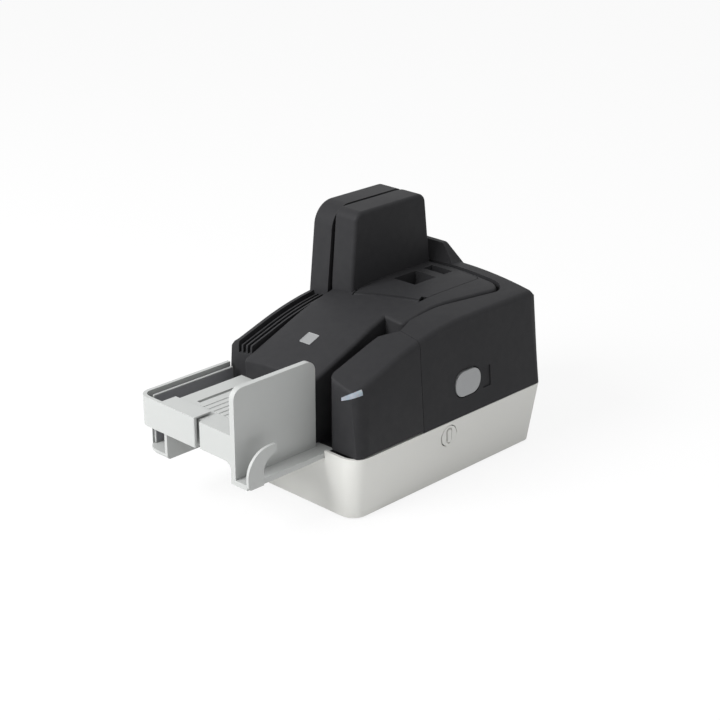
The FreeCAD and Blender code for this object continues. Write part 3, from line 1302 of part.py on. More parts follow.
def feeder_cover():
    """The cover beside the hopper: a shell with a rounded nose that tips outward about its lower edge."""
    points = [
        ("feeder_inner_x", "nose_front_y", "feeder_corner"),
        ("form_half_x", "nose_front_y"),
        ("form_half_x", "feeder_rear_y"),
        ("flare_x", "feeder_rear_y"),
        ("feeder_inner_x", "flare_front_y"),
    ]
    region = outline("feeder_outline", "XY", points, COVER_Z)
    nose = nose_cut("feeder_nose", "nose_front_y", "0")
    block = prism("feeder_block", region, COVER_HEIGHT)
    outer = cut("feeder_blank", common("feeder_form", FORM, block), nose)
    inner = common("feeder_room", INNER, prism("feeder_inset_block", grown("feeder_inset", region, "-wall"),
                                               COVER_HEIGHT))
    inner_nose = nose_cut("feeder_inner_nose", "nose_front_y + wall", "wall")
    inner = cut("feeder_hollow", inner, inner_nose)
    edge = box("feeder_edge", ("feeder_hinge_x", "form_half_x"), ("-form_rear_y", "form_rear_y"),
               ("seam_z", "feeder_hinge_z"))
    round_edge = cylinder("feeder_round", "feeder_hinge_x", "-form_rear_y", "feeder_hinge_z",
                          "feeder_hinge_radius", "form_rear_y * 2", "y")
    edge = cut("feeder_edge_cut", edge, round_edge)
    part("feeder_cover", cut("feeder_cut", outer, inner, edge, light_block("light_seat")))


def light_block(name):
    """The slanted band that the status light fills, round the nose of the feeder cover."""
    rise = "(form_half_x - light_x) * tan(light_tilt)"
    profile = outline(name + "_outline", "XZ", [
        ("light_x", "light_bottom_z"),
        ("form_half_x", "light_bottom_z + " + rise),
        ("form_half_x", "light_bottom_z + light_width + " + rise),
        ("(light_x + form_half_x) / 2", "light_bottom_z + light_width + %s / 2" % rise),
        ("light_x", "light_bottom_z + light_taper"),
    ], "-form_rear_y")
    return prism(name, profile, "light_length", "y")


def status_light():
    """The clear light pipe, flush with the nose of the feeder cover."""
    skin = cut("light_skin", common("light_form", FORM, light_block("light_band")),
               nose_cut("light_nose", "nose_front_y", "0"))
    part("status_light", skin)


def transport_cover():
    """The large cover on the right and the rear, which swings back about an upright pin."""
    inner_x = "island_right_x - path_gap"
    points = [
        ("form_half_x", "feeder_rear_y + seam_gap"),
        ("form_half_x", "form_rear_y"),
        ("cover_pin_x", "form_rear_y"),
        ("cover_pin_x", "cover_pin_y - cover_end_radius"),
        (inner_x, "cover_pin_y - cover_end_radius"),
        (inner_x, "notch_rear_y + notch_radius"),
        ("island_right_x + path_gap", "flare_y"),
        ("flare_x", "feeder_rear_y + seam_gap"),
    ]
    region = outline("transport_outline", "XY", points, COVER_Z)
    end = cylinder("door_end", "cover_pin_x", "cover_pin_y", COVER_Z, "cover_end_radius", COVER_HEIGHT)
    plan = fuse("transport_plan", prism("transport_block", region, COVER_HEIGHT), end)
    outer = cut("transport_blank", common("transport_form", COVERS, plan), PATH_BLOCK)
    inset = prism("transport_inset_block", grown("transport_inset", region, "-wall"), COVER_HEIGHT)
    boss = cylinder("door_boss", "cover_pin_x", "cover_pin_y", "path_z", "cover_end_radius", "tower_top_z")
    inner = cut("transport_room", common("transport_hollow", INNER, inset), GUIDE_BLOCK, boss)
    windows = [
        roller_room(name + "_pinch_window", pinch, "pinch_radius")
        for name, drive, pinch in ROLLERS if name in ("entrance", "rear_right", "rear_left")
    ]
    windows.append(head_box("head_window", "part_gap"))
    windows.append(button_block("button_hole", "button_gap", "button_face_x - button_depth - overrun",
                                "button_depth + overrun * 2"))
    windows.append(cylinder("door_pin_bore", "cover_pin_x", "cover_pin_y", "path_z",
                            "pin_radius + bearing_gap", "pin_top_z + part_gap - path_z"))
    pocket = prism("pocket_block", outline("pocket_outline", "YZ", rounded_at(
        "pocket_y", "pocket_bottom_z", "pocket_length", "pocket_height", "pocket_depth"),
        "button_face_x - button_depth"), "button_depth * 2", "x")
    pocket = cut("pocket_tool", pocket, drafted("pocket_floor", "pocket_depth"))
    shell = cut("transport_shell", outer, inner, pocket, *windows)
    shelves = []
    for name, drive, pinch in ROLLERS:
        if name == "entrance":
            shelves.append(pin_shelf(name, "island_right_x + path_gap + wall / 2", "seam_half_x - wall",
                                     "entrance_roller_y - pinch_radius",
                                     "entrance_roller_y + pinch_radius"))
        elif name.startswith("rear"):
            shelves.append(pin_shelf(name, pinch[0] + " - pinch_radius", pinch[0] + " + pinch_radius",
                                     "island_rear_y + path_gap + wall / 2", "seam_rear_y - wall"))
    head_seat = box("head_seat", (HEAD_X + " + head_depth", "seam_half_x - wall / 2"),
                    ("head_y", "head_y + head_width"), ("head_bottom_z", "head_bottom_z + head_height"))
    shelves = common("transport_shelves", fuse("shelf_group", head_seat, *shelves), SIDES)
    part("transport_cover", fuse("transport_fuse", shell, shelves))


def rounded_at(low, bottom, length, height, radius):
    """The corners of a rounded rectangle that starts at a place."""
    return [
        (low, bottom, radius),
        ("%s + %s" % (low, length), bottom, radius),
        ("%s + %s" % (low, length), "%s + %s" % (bottom, height), radius),
        (low, "%s + %s" % (bottom, height), radius),
    ]


def head_box(name, growth):
    """The magnetic head, or its window where it is grown."""
    return box(name, (HEAD_X + " - (%s)" % growth, HEAD_X + " + head_depth"),
               ("head_y - (%s)" % growth, "head_y + head_width + (%s)" % growth),
               ("head_bottom_z - (%s)" % growth, "head_bottom_z + head_height + (%s)" % growth))


def magnetic_head():
    """The magnetic reading head, with its rounded face in the path."""
    block = head_box("head_block", "0")
    face = size(HEAD_X)
    upright = size("head_height") / 2

    def corner(bounds):
        return bounds.XMax < face + NEAR and bounds.ZLength > upright

    part("magnetic_head", fillet("head", block, "head_round", corner))


def button_block(name, growth, start, depth):
    """The release button's outline, drawn out from a start along X."""
    grow = "(%s)" % growth
    points = rounded_at("button_y - " + grow, "button_bottom_z - " + grow, "button_width + 2 * " + grow,
                        "button_height + 2 * " + grow, "button_radius")
    return prism(name, outline(name + "_outline", "YZ", points, start), depth, "x")


def buttons():
    """The silver release button and the power button with its raised bar."""
    block = button_block("release_block", "0", "button_face_x - button_depth", "button_depth")
    face = size("button_face_x")
    rounded_block = fillet("release", block, "button_edge", lambda bounds: bounds.XMin > face - NEAR)
    part("release_button", rounded_block)
    disc = cylinder("power_disc", "power_face_x - power_depth", "power_y", "power_z", "power_radius",
                    "power_depth", "x")
    grooved = cut("power_disc_cut", disc, power_bar("power_groove_cut", "power_groove"))
    part("power_button", fuse("power", grooved, power_bar("power_bar_block", "0")))


def power_bar(name, growth):
    """The raised bar of the power button, or the groove round it where it is grown."""
    width = "(power_bar_width + 2 * (%s))" % growth
    height = "(power_bar_height + 2 * (%s))" % growth
    points = rounded_at("power_y - %s / 2" % width, "power_z - %s / 2" % height, width, height,
                        "%s * bar_round_share" % width)
    bar = outline(name + "_outline", "YZ", points, "power_face_x - power_bar")
    return prism(name, bar, "power_bar * 3 / 2", "x")


def document_tray():
    """The light grey front moulding: ribbed tray, apron, hopper wall, hopper floor and finger."""
    length = ("tray_front_y", "tray_rear_y")
    plate = box("tray_plate_box", ("tray_left_x", "divider_right_x"), length,
                ("tray_top_z - tray_plate", "tray_top_z"))
    apron = prism("apron_block", outline("apron_outline", "XZ", [
        ("tray_left_x", "apron_bottom_z"),
        ("divider_left_x", "apron_bottom_z", "apron_corner"),
        ("divider_left_x", "hopper_floor_z"),
        ("divider_right_x", "hopper_floor_z"),
        ("divider_right_x", "tray_top_z"),
        ("tray_left_x", "tray_top_z"),
    ], "tray_front_y"), "tray_step_y + apron - tray_front_y", "y")
    left = box("tray_left_wall", ("island_left_x - part_gap", "exit_right_x"), length,
               ("apron_bottom_z + part_gap", "tray_top_z"))
    step = box("tray_step", ("-form_half_x", "tray_step_x"), ("tray_front_y - overrun", "tray_step_y"),
               ("hopper_floor_z", "tray_top_z + overrun"))
    divider = prism("divider", outline("divider_outline", "YZ", [
        ("tray_front_y", "hopper_floor_z", "divider_radius / 4"),
        ("tray_rear_y", "hopper_floor_z"),
        ("tray_rear_y", "divider_top_z", "divider_radius"),
        ("tray_front_y", "divider_top_z", "divider_radius"),
    ], "divider_left_x"), "divider_right_x - divider_left_x", "x")
    floor = box("hopper_floor_box", ("divider_left_x", "hopper_right_x"),
                ("tray_front_y", "tray_rear_end_y - part_gap"), ("hopper_floor_z", "path_z"))
    ribs = [
        box("tray_rib", ("tray_rib_first_x + tray_rib_pitch * %d" % k,
                         "tray_rib_first_x + tray_rib_pitch * %d + tray_rib_width" % k),
            ("tray_rib_front_y", "tray_rear_y"), ("tray_top_z - tray_plate", "tray_top_z + tray_rib"))
        for k in range(int(size("tray_ribs")))
    ]
    slot = box("tray_slot", ("tray_slot_x", "tray_slot_x + tray_slot_width"),
               ("tray_slot_front_y", "tray_rear_y - tray_rib_width"),
               ("tray_top_z - overrun", "tray_top_z + overrun"))
    blank = fuse("tray_blank", plate, apron, left, divider, floor, finger(), *ribs)
    part("document_tray", cut("tray_cut", blank, step, slot))


def finger():
    """The hooked finger that holds the front corner of the documents."""
    front = "tray_front_y"
    rear = "tray_front_y + finger_width"
    profile = outline("finger_outline", "YZ", [
        (front, "hopper_floor_z", "exit_lip_radius"),
        (rear, "hopper_floor_z"),
        (rear, "finger_bend_z - finger_bend_radius / 2", "finger_bend_radius * 3 / 5"),
        ("finger_tip_y", "finger_tip_z - finger_depth", "finger_depth / 3"),
        ("finger_tip_y", "finger_tip_z", "finger_depth / 4"),
        (front, "finger_bend_z", "finger_bend_radius"),
    ], "finger_left_x")
    return prism("finger", profile, "finger_thickness", "x")


def exit_tray():
    """The trough that read documents drop into, with its dark side panel."""
    length = ("tray_front_y", "tray_rear_end_y - part_gap")
    wall_top = "apron_bottom_z"
    floor = box("exit_floor", ("exit_left_x", "exit_right_x"), length, ("exit_bottom_z", "exit_floor_z"))
    left = box("exit_left_wall", ("exit_left_x", "exit_left_x + exit_wall"),
               ("tray_front_y", "fin_front_y - wall"), ("exit_bottom_z", wall_top))
    right = box("exit_right_wall", ("island_left_x - part_gap", "exit_right_x"),
                ("tray_front_y", "tray_rear_y"), ("exit_bottom_z", wall_top))
    plan = prism("exit_plan", outline("exit_outline", "XY", [
        ("exit_left_x", "tray_front_y", "exit_corner"),
        ("exit_right_x", "tray_front_y"),
        ("exit_right_x", "tray_rear_end_y"),
        ("exit_left_x", "tray_rear_end_y"),
    ], "exit_bottom_z"), "tray_top_z - exit_bottom_z")
    blank = common("exit_blank", fuse("exit_walls", floor, left, right), plan)
    low = size("exit_bottom_z")
    rear = size("tray_front_y + exit_corner")

    def lower_front(bounds):
        return bounds.ZMax < low + NEAR and bounds.YMax < rear + NEAR

    part("exit_tray", fillet("exit_lip", blank, "exit_lip_radius", lower_front))
    panel = box("side_panel_box", ("panel_gap_x", "panel_gap_x + side_panel"),
                ("tray_front_y + exit_corner / 2", "side_panel_rear_y"),
                ("exit_floor_z", "side_panel_top_z"))
    part("exit_side_panel", panel)


def document_stopper():
    """The sliding stopper at the front: a wall, an arm along the left and a plate over the tray."""
    inner_corner = "stopper_corner - stopper_wall"
    wall = prism("stopper_wall_block", outline("stopper_outline", "XY", [
        ("stopper_left_x", "stopper_front_y", "stopper_corner"),
        ("stopper_right_x", "stopper_front_y", "stopper_wall / 3"),
        ("stopper_right_x", "stopper_front_y + stopper_wall", "stopper_wall / 3"),
        ("stopper_left_x + stopper_wall", "stopper_front_y + stopper_wall", inner_corner),
        ("stopper_left_x + stopper_wall", "stopper_rear_y"),
        ("stopper_left_x", "stopper_rear_y"),
    ], "stopper_bottom_z"), "stopper_top_z - stopper_bottom_z")
    plate = box("stopper_plate", ("tray_left_x", "stopper_right_x"),
                ("stopper_front_y + stopper_wall / 2", "stopper_plate_rear_y"),
                ("stopper_plate_bottom_z", "stopper_top_z"))
    part("document_stopper", fuse("stopper", wall, plate))


def roller_solid(name, x, y, radius, bore):
    """A roller turned from one profile: two tyres on a slimmer hub, with a bore."""
    top = "roller_bottom_z + roller_height"
    hub = cylinder(name + "_hub", x, y, "roller_bottom_z", radius + " - hub_inset", "roller_height")
    low = cylinder(name + "_low_tyre", x, y, "roller_bottom_z", radius, "tyre_width")
    high = cylinder(name + "_high_tyre", x, y, top + " - tyre_width", radius, "tyre_width")
    hole = cylinder(name + "_bore", x, y, "roller_bottom_z - overrun", bore, "roller_height + overrun * 2")
    return cut(name + "_cut", fuse(name + "_fuse", hub, low, high), hole)


def shaft_solid(name, x, y):
    """A shaft with its belt pulley below the track plate."""
    flange = "pulley_radius + pulley_flange * 2"
    shaft = cylinder(name + "_shaft", x, y, "belt_bottom_z - pulley_flange", "shaft_radius",
                     "roller_bottom_z + roller_height - belt_bottom_z + pulley_flange")
    pulley = cylinder(name + "_pulley", x, y, "belt_bottom_z - pulley_flange", "pulley_radius",
                      "belt_width + pulley_flange * 2")
    rims = [
        cylinder(name + "_rim", x, y, z, flange, "pulley_flange")
        for z in ("belt_bottom_z - pulley_flange", "belt_bottom_z + belt_width")
    ]
    return fuse(name + "_with_pulley", shaft, pulley, *rims)


def rollers():
    """The driven rollers with their shafts, and the pinch rollers that press against them."""
    part("feed_roller", roller_solid("feed", "feed_x", "feed_y", "feed_radius", "shaft_radius"))
    part("feed_shaft", shaft_solid("feed_axle", "feed_x", "feed_y"))
    pins = {"transport": [], "reader": []}
    for name, drive, pinch in ROLLERS:
        part(name + "_drive_roller", roller_solid(name + "_drive", drive[0], drive[1], "drive_radius",
                                                  "shaft_radius"))
        part(name + "_drive_shaft", shaft_solid(name + "_axle", drive[0], drive[1]))
        part(name + "_pinch_roller", roller_solid(name + "_pinch", pinch[0], pinch[1], "pinch_radius",
                                                  "pinch_pin_radius + bearing_gap"))
        pin = cylinder(name + "_pin", pinch[0], pinch[1], "roller_bottom_z", "pinch_pin_radius",
                       "roller_height + roller_window_margin")
        pins["reader" if name in ("reader", "exit") else "transport"].append(pin)
    for name, group in pins.items():
        part(name + "_pinch_pins", fuse(name + "_pins", *group))


def belt_drive():
    """The motor under the track plate and the toothed belt round every pulley."""
    places = [("feed_x", "feed_y")] + [drive for name, drive, pinch in ROLLERS] + [("motor_x", "motor_y")]
    loop = outline("belt_line", "XY", places, "belt_bottom_z")
    inside = "pulley_radius + bearing_gap"
    width = "belt_width - part_gap"
    inner = prism("belt_inside", grown("belt_inner", loop, inside), width)
    outer = prism("belt_outside", grown("belt_outer", loop, inside + " + belt_thickness"), width)
    part("drive_belt", cut("belt", outer, inner))
    floor = "foot_height + base_floor"
    can = cylinder("motor_can", "motor_x", "motor_y", floor, "motor_radius", "motor_top_z - (%s)" % floor)
    part("motor", can)
    shaft = cylinder("motor_axle", "motor_x", "motor_y", "motor_top_z", "shaft_radius",
                     "belt_bottom_z + belt_width - motor_top_z")
    pulley = cylinder("motor_drum", "motor_x", "motor_y", "belt_bottom_z - pulley_flange", "pulley_radius",
                      "belt_width + pulley_flange * 2")
    part("motor_pulley", fuse("motor_drum_fuse", shaft, pulley))


lower_housing()
feet_and_screws()
electronics()
track_plate()
hinge_pins()
rear_post()
centre_cover()
imprinter_lid()
ink_cartridge()
inner_reader_housing()
outer_reader_housing()
image_sensors()
left_side_cover()
feeder_cover()
status_light()
transport_cover()
magnetic_head()
buttons()
document_tray()
exit_tray()
document_stopper()
rollers()
belt_drive()


def finish():
    """Check every object of the document and write each piece to its own file."""
    DOC.recompute()
    for feature in DOC.Objects:
        if "Invalid" in feature.State or "Error" in feature.State:
            raise RuntimeError("%s failed: %s" % (feature.Label, feature.State))
    os.makedirs("parts", exist_ok=True)
    for name, feature in PARTS:
        shape = feature.Shape
        if shape.isNull() or not shape.isValid() or shape.Volume <= 0:
            raise RuntimeError("%s has no valid shape" % name)
        shape.exportStep("parts/%s.step" % name)
        bounds = shape.BoundBox
        corners = (bounds.XMin, bounds.XMax, bounds.YMin, bounds.YMax, bounds.ZMin, bounds.ZMax)
        text = " ".join("%.1f" % corner for corner in corners)
        print("%-24s %d solid %9.0f mm3  %s" % (name, len(shape.Solids), shape.Volume, text))


finish()
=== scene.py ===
"""The looks of a cheque scanner with hinged covers, laid out as an add-on and run as a script."""

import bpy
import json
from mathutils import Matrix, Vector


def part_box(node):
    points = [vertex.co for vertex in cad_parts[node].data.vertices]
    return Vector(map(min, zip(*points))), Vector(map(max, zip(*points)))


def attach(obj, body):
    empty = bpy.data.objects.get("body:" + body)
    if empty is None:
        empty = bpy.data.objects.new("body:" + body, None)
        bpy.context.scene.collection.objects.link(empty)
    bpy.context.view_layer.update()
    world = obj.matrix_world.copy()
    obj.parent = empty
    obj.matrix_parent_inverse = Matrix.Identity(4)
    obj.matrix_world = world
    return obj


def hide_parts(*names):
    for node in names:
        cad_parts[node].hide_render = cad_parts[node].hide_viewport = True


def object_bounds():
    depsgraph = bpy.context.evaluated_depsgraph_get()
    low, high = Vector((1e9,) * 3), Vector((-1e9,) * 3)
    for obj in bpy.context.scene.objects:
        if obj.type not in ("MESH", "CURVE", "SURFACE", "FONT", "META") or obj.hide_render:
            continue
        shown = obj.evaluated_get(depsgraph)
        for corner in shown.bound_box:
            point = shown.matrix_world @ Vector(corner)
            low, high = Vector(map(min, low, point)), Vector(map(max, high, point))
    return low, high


bl_info = {
    "name": "Cheque scanner looks",
    "version": (1, 0, 0),
    "blender": (4, 5, 0),
    "location": "3D View > Sidebar > Scanner",
    "description": "Dresses the packed cheque scanner and sets it on a pale floor",
    "category": "Object",
}

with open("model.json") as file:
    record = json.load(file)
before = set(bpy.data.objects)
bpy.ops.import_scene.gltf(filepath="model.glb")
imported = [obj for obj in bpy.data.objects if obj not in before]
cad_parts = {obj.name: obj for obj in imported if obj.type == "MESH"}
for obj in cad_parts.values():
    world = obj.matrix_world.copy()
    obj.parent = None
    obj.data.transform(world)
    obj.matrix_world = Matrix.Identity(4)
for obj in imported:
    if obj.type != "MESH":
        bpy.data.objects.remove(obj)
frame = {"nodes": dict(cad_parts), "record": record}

import functools
import json
import math

import bmesh
import bpy
from mathutils import Vector
from mathutils.bvhtree import BVHTree

CAD_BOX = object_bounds()

# An edge that turns more than this is sharp, and one that turns less than the other lies flat.
SHARP = math.radians(32)
FLAT = math.radians(0.4)
# Corners nearer than this are welded, and edges shorter than the other are dissolved, in metres.
WELD = 2e-6
TINY = 1e-6

# Which body carries each node.
BODY = {node: body for body, nodes in frame["record"]["behaviour"]["bodies"].items() for node in nodes}


def length(name, description, default):
    """A length that a user would change."""
    return bpy.props.FloatProperty(
        name=name, description=description, default=default, unit="LENGTH", precision=5)


def share(name, description, default):
    """A number from 0 to 1."""
    return bpy.props.FloatProperty(name=name, description=description, default=default, min=0, max=1)


def point(name, description, default):
    """A point in the frame."""
    return bpy.props.FloatVectorProperty(
        name=name, description=description, default=default, subtype="XYZ", unit="LENGTH")


def colour(name, description, default):
    """A linear colour."""
    return bpy.props.FloatVectorProperty(
        name=name, description=description, default=default, subtype="COLOR", size=3, min=0, max=1)


class ScannerFinish(bpy.types.PropertyGroup):
    """Colours and surface of the plastics and metals."""
    cover_black: colour("Cover black", "Textured plastic of the hinged covers", (0.0245, 0.0245, 0.0262))
    deep_black: colour("Inner black", "Plastic inside the path", (0.009, 0.009, 0.010))
    housing_grey: colour("Housing grey", "Plastic of the lower housing", (0.615, 0.615, 0.59))
    tray_grey: colour("Tray grey", "Plastic of the trays and the stopper", (0.395, 0.405, 0.398))
    panel_grey: colour("Panel grey", "Dark panel beside the exit tray", (0.245, 0.245, 0.262))
    button_silver: colour("Button silver", "Painted release button", (0.27, 0.275, 0.28))
    light_clear: colour("Light pipe", "Clear pipe of the status light", (0.20, 0.225, 0.26))
    rubber_black: colour("Rubber", "Feet and belt", (0.012, 0.012, 0.012))
    tyre_grey: colour("Tyre rubber", "Tyres of the rollers", (0.10, 0.10, 0.105))
    acetal_white: colour("White plastic", "Shafts and pinch rollers", (0.66, 0.65, 0.62))
    steel: colour("Steel", "Pins and the magnetic head", (0.56, 0.56, 0.57))
    black_steel: colour("Blackened steel", "Hinge pins", (0.030, 0.030, 0.032))
    zinc: colour("Zinc", "Screws, socket shell and motor can", (0.50, 0.51, 0.52))
    board_green: colour("Circuit board", "Solder mask", (0.012, 0.09, 0.035))
    glass_tint: colour("Glass", "Windows of the image sensors", (0.020, 0.034, 0.034))
    badge: colour("Badge", "Face of the blank badge on the centre cover", (0.78, 0.75, 0.74))
    grain_size: length("Grain size", "Size of the moulded texture", 0.0006)
    grain_depth: length("Grain depth", "Depth of the moulded texture", 0.00002)
    # Painted highlight: the covers' rounded edges are painted this much paler than the cover black.
    painted_edge_highlight: share("Painted edge highlight", "How much paler the covers' rounded edges are painted, as a highlight", 0.2)


class ScannerTrim(bpy.types.PropertyGroup):
    """Sizes of the fine details."""
    cover_edge: length("Cover edges", "Rounding of the covers' edges", 0.0006)
    tray_edge: length("Tray edges", "Rounding of the trays' edges", 0.0005)
    housing_edge: length("Housing edges", "Rounding of the lower housing's edges", 0.0006)
    badge_x: length("Badge, across", "Middle of the blank badge", -0.0102)
    badge_y: length("Badge, along", "Middle of the blank badge", -0.0649)
    badge_width: length("Badge width", "Width of the blank badge", 0.0115)
    badge_frame: length("Badge frame", "Width of the frame round its face", 0.0007)
    badge_corner: length("Badge corner", "Corner radius of the badge", 0.0011)
    badge_height: length("Badge height", "How far the badge stands out", 0.0005)
    # Painted highlight: the side panel's rounded edges are painted pale tray grey, as a line of light along
    # its rim.
    painted_rim_width: length("Panel rim", "Width of the pale rim painted along the side panel's edges as a highlight", 0.0009)
    tongue_length: share("Tongue length", "Length of the socket's tongue, as a share of the socket's", 0.42)
    tongue_width: share("Tongue width", "Width of the tongue, as a share of the socket's", 0.45)
    tongue_height: share("Tongue height", "Height of the tongue, as a share of the socket's", 0.27)
    contact_width: share("Contact width", "Width of a contact, as a share of the socket's", 0.08)
    contact_length: share("Contact length", "Length of a contact, as a share of the tongue's", 0.8)
    contact_height: length("Contact height", "Thickness of a contact", 0.0003)
    contact_pitch: share("Contact pitch", "Distance between contacts, as a share of the socket's width", 0.2)
    tread_wire: length("Tread", "Half thickness of a tread ring", 0.00022)
    tread_pitch: length("Tread pitch", "Distance between tread rings", 0.001)
    tread_sunk: share("Tread sunk", "How far a ring lies in the tyre, as a share of its half thickness", 0.5)
    tread_rings: bpy.props.IntProperty(name="Tread rings", description="Rings on a tyre", default=7, min=1)


class ScannerStage(bpy.types.PropertyGroup):
    """Camera, lamps and floor."""
    camera_place: point("Camera", "Place of the camera", (0.8271, -0.8665, 0.5690))
    camera_azimuth: bpy.props.FloatProperty(
        name="Azimuth", description="Turn of the camera about the object", default=math.radians(44.4),
        subtype="ANGLE", unit="ROTATION")
    camera_elevation: bpy.props.FloatProperty(
        name="Elevation", description="Height of the camera above the horizon", default=math.radians(22.3),
        subtype="ANGLE", unit="ROTATION")
    camera_lens: bpy.props.FloatProperty(
        name="Lens", description="Focal length on a 36 mm sensor, in millimetres", default=84.2)
    lamp_aim: point("Lamps' aim", "Point that both lamps face", (0, 0, 0.08))
    key_place: point("Key lamp's place", "Place of the lamp at the front left", (-0.35, -1.3, 1.05))
    key_size: length("Key lamp's size", "Width of the lamp at the front left", 0.8)
    key_power: bpy.props.FloatProperty(
        name="Key lamp", description="Power of the lamp at the front left", default=32, unit="POWER")
    fill_place: point("Fill lamp's place", "Place of the lamp at the right", (1.3, -0.2, 0.7))
    fill_size: length("Fill lamp's size", "Width of the lamp at the right", 0.9)
    fill_power: bpy.props.FloatProperty(
        name="Fill lamp", description="Power of the lamp at the right", default=1.2, unit="POWER")
    sky_strength: bpy.props.FloatProperty(
        name="Room light", description="Strength of the light from all round", default=0.46, min=0, max=1)
    sky_low: bpy.props.FloatProperty(
        name="Low light", description="Light from the horizon, as a share of the room light", default=0.6)
    sky_high: bpy.props.FloatProperty(
        name="High light", description="Light from above, as a share of the room light", default=1.9)
    floor_size: length("Floor", "Width of the floor", 6)
    floor_tone: share("Floor tone", "Grey of the floor", 0.86)
    floor_glow: share("Floor glow", "How white the floor shows, over its shadow", 0.86)


def settings(context):
    """The three groups of settings."""
    scene = context.scene
    return scene.scanner_finish, scene.scanner_trim, scene.scanner_stage


# Shared shader groups


def made_once(maker):
    """Let a function that makes a node group make it the first time only, under the function's name."""
    @functools.wraps(maker)
    def find():
        return bpy.data.node_groups.get(maker.__name__) or maker(maker.__name__)
    return find


def new_group(name, inputs, outputs):
    """An empty shader group with its sockets, as (group, input node, output node)."""
    group = bpy.data.node_groups.new(name, "ShaderNodeTree")
    for label, kind, default in inputs:
        socket = group.interface.new_socket(name=label, in_out="INPUT", socket_type=kind)
        socket.default_value = default
    for label, kind in outputs:
        group.interface.new_socket(name=label, in_out="OUTPUT", socket_type=kind)
    return group, group.nodes.new("NodeGroupInput"), group.nodes.new("NodeGroupOutput")


def node(tree, kind, **values):
    """A new node with its settings and socket values; a value that is a socket is linked."""
    made = tree.nodes.new(kind)
    for name, value in values.items():
        if hasattr(made, name) and name not in made.inputs:
            setattr(made, name, value)
            continue
        numbered = name[0] == "i" and name[1:].isdigit()
        socket = made.inputs[int(name[1:]) if numbered else name.replace("_", " ")]
        if isinstance(value, bpy.types.NodeSocket):
            tree.links.new(value, socket)
        else:
            socket.default_value = value
    return made


@made_once
def moulded_texture(name):
    """Fine moulded texture: bumps in two sizes, as a height, with a mask that varies the gloss."""
    group, given, result = new_group(name, [
        ("Place", "NodeSocketVector", (0, 0, 0)),
        ("Size", "NodeSocketFloat", 0.0006),
        ("Depth", "NodeSocketFloat", 0.00002),
    ], [("Height", "NodeSocketFloat"), ("Gloss", "NodeSocketFloat")])
    scale = node(group, "ShaderNodeMath", operation="DIVIDE", i0=1.0, i1=given.outputs["Size"])
    fine = node(group, "ShaderNodeTexNoise", Vector=given.outputs["Place"], Scale=scale.outputs[0],
                Detail=2.0)
    broad = node(group, "ShaderNodeTexNoise", Vector=given.outputs["Place"], Scale=45.0, Detail=3.0)
    height = node(group, "ShaderNodeMath", operation="MULTIPLY", i0=fine.outputs["Fac"],
                  i1=given.outputs["Depth"])
    gloss = node(group, "ShaderNodeMath", operation="SUBTRACT", i0=broad.outputs["Fac"], i1=0.5)
    group.links.new(height.outputs[0], result.inputs["Height"])
    group.links.new(gloss.outputs[0], result.inputs["Gloss"])
    return group


@made_once
def handling_marks(name):
    """Faint uneven patches where hands and dust have been, as a colour and a mask."""
    group, given, result = new_group(name, [
        ("Place", "NodeSocketVector", (0, 0, 0)),
        ("Colour", "NodeSocketColor", (0.5, 0.5, 0.5, 1)),
        ("Amount", "NodeSocketFloat", 0.1),
    ], [("Colour", "NodeSocketColor"), ("Mask", "NodeSocketFloat")])
    patches = node(group, "ShaderNodeTexNoise", Vector=given.outputs["Place"], Scale=14.0, Detail=5.0,
                   Roughness=0.6)
    streaks = node(group, "ShaderNodeTexNoise", Vector=given.outputs["Place"], Scale=160.0, Detail=2.0)
    mixed = node(group, "ShaderNodeMath", operation="MULTIPLY", i0=patches.outputs["Fac"],
                 i1=streaks.outputs["Fac"])
    mask = node(group, "ShaderNodeMapRange", Value=mixed.outputs[0], From_Min=0.15, From_Max=0.4)
    pale = node(group, "ShaderNodeMix", data_type="RGBA", blend_type="SCREEN", i0=given.outputs["Amount"],
                i6=given.outputs["Colour"], i7=(0.16, 0.16, 0.155, 1))
    shade = node(group, "ShaderNodeMix", data_type="RGBA", i0=mask.outputs["Result"],
                 i6=given.outputs["Colour"], i7=pale.outputs[2])
    group.links.new(shade.outputs[2], result.inputs["Colour"])
    group.links.new(mask.outputs["Result"], result.inputs["Mask"])
    return group


@made_once
def brushed_lines(name):
    """Turned or brushed metal: fine lines round or along a piece, as a height and a gloss mask."""
    group, given, result = new_group(name, [
        ("Place", "NodeSocketVector", (0, 0, 0)),
        ("Depth", "NodeSocketFloat", 0.000004),
    ], [("Height", "NodeSocketFloat"), ("Gloss", "NodeSocketFloat")])
    stretched = node(group, "ShaderNodeMapping", Vector=given.outputs["Place"], Scale=(120, 120, 6000))
    lines = node(group, "ShaderNodeTexNoise", Vector=stretched.outputs[0], Scale=1.0, Detail=2.0)
    height = node(group, "ShaderNodeMath", operation="MULTIPLY", i0=lines.outputs["Fac"],
                  i1=given.outputs["Depth"])
    gloss = node(group, "ShaderNodeMath", operation="SUBTRACT", i0=lines.outputs["Fac"], i1=0.5)
    group.links.new(height.outputs[0], result.inputs["Height"])
    group.links.new(gloss.outputs[0], result.inputs["Gloss"])
    return group


# Materials


def blank_material(name):
    """A material with only its output and a Principled shader."""
    material = bpy.data.materials.new(name)
    material.use_nodes = True
    tree = material.node_tree
    tree.nodes.clear()
    shader = tree.nodes.new("ShaderNodeBsdfPrincipled")
    output = tree.nodes.new("ShaderNodeOutputMaterial")
    tree.links.new(shader.outputs[0], output.inputs["Surface"])
    place = tree.nodes.new("ShaderNodeTexCoord").outputs["Object"]
    return material, tree, shader, place


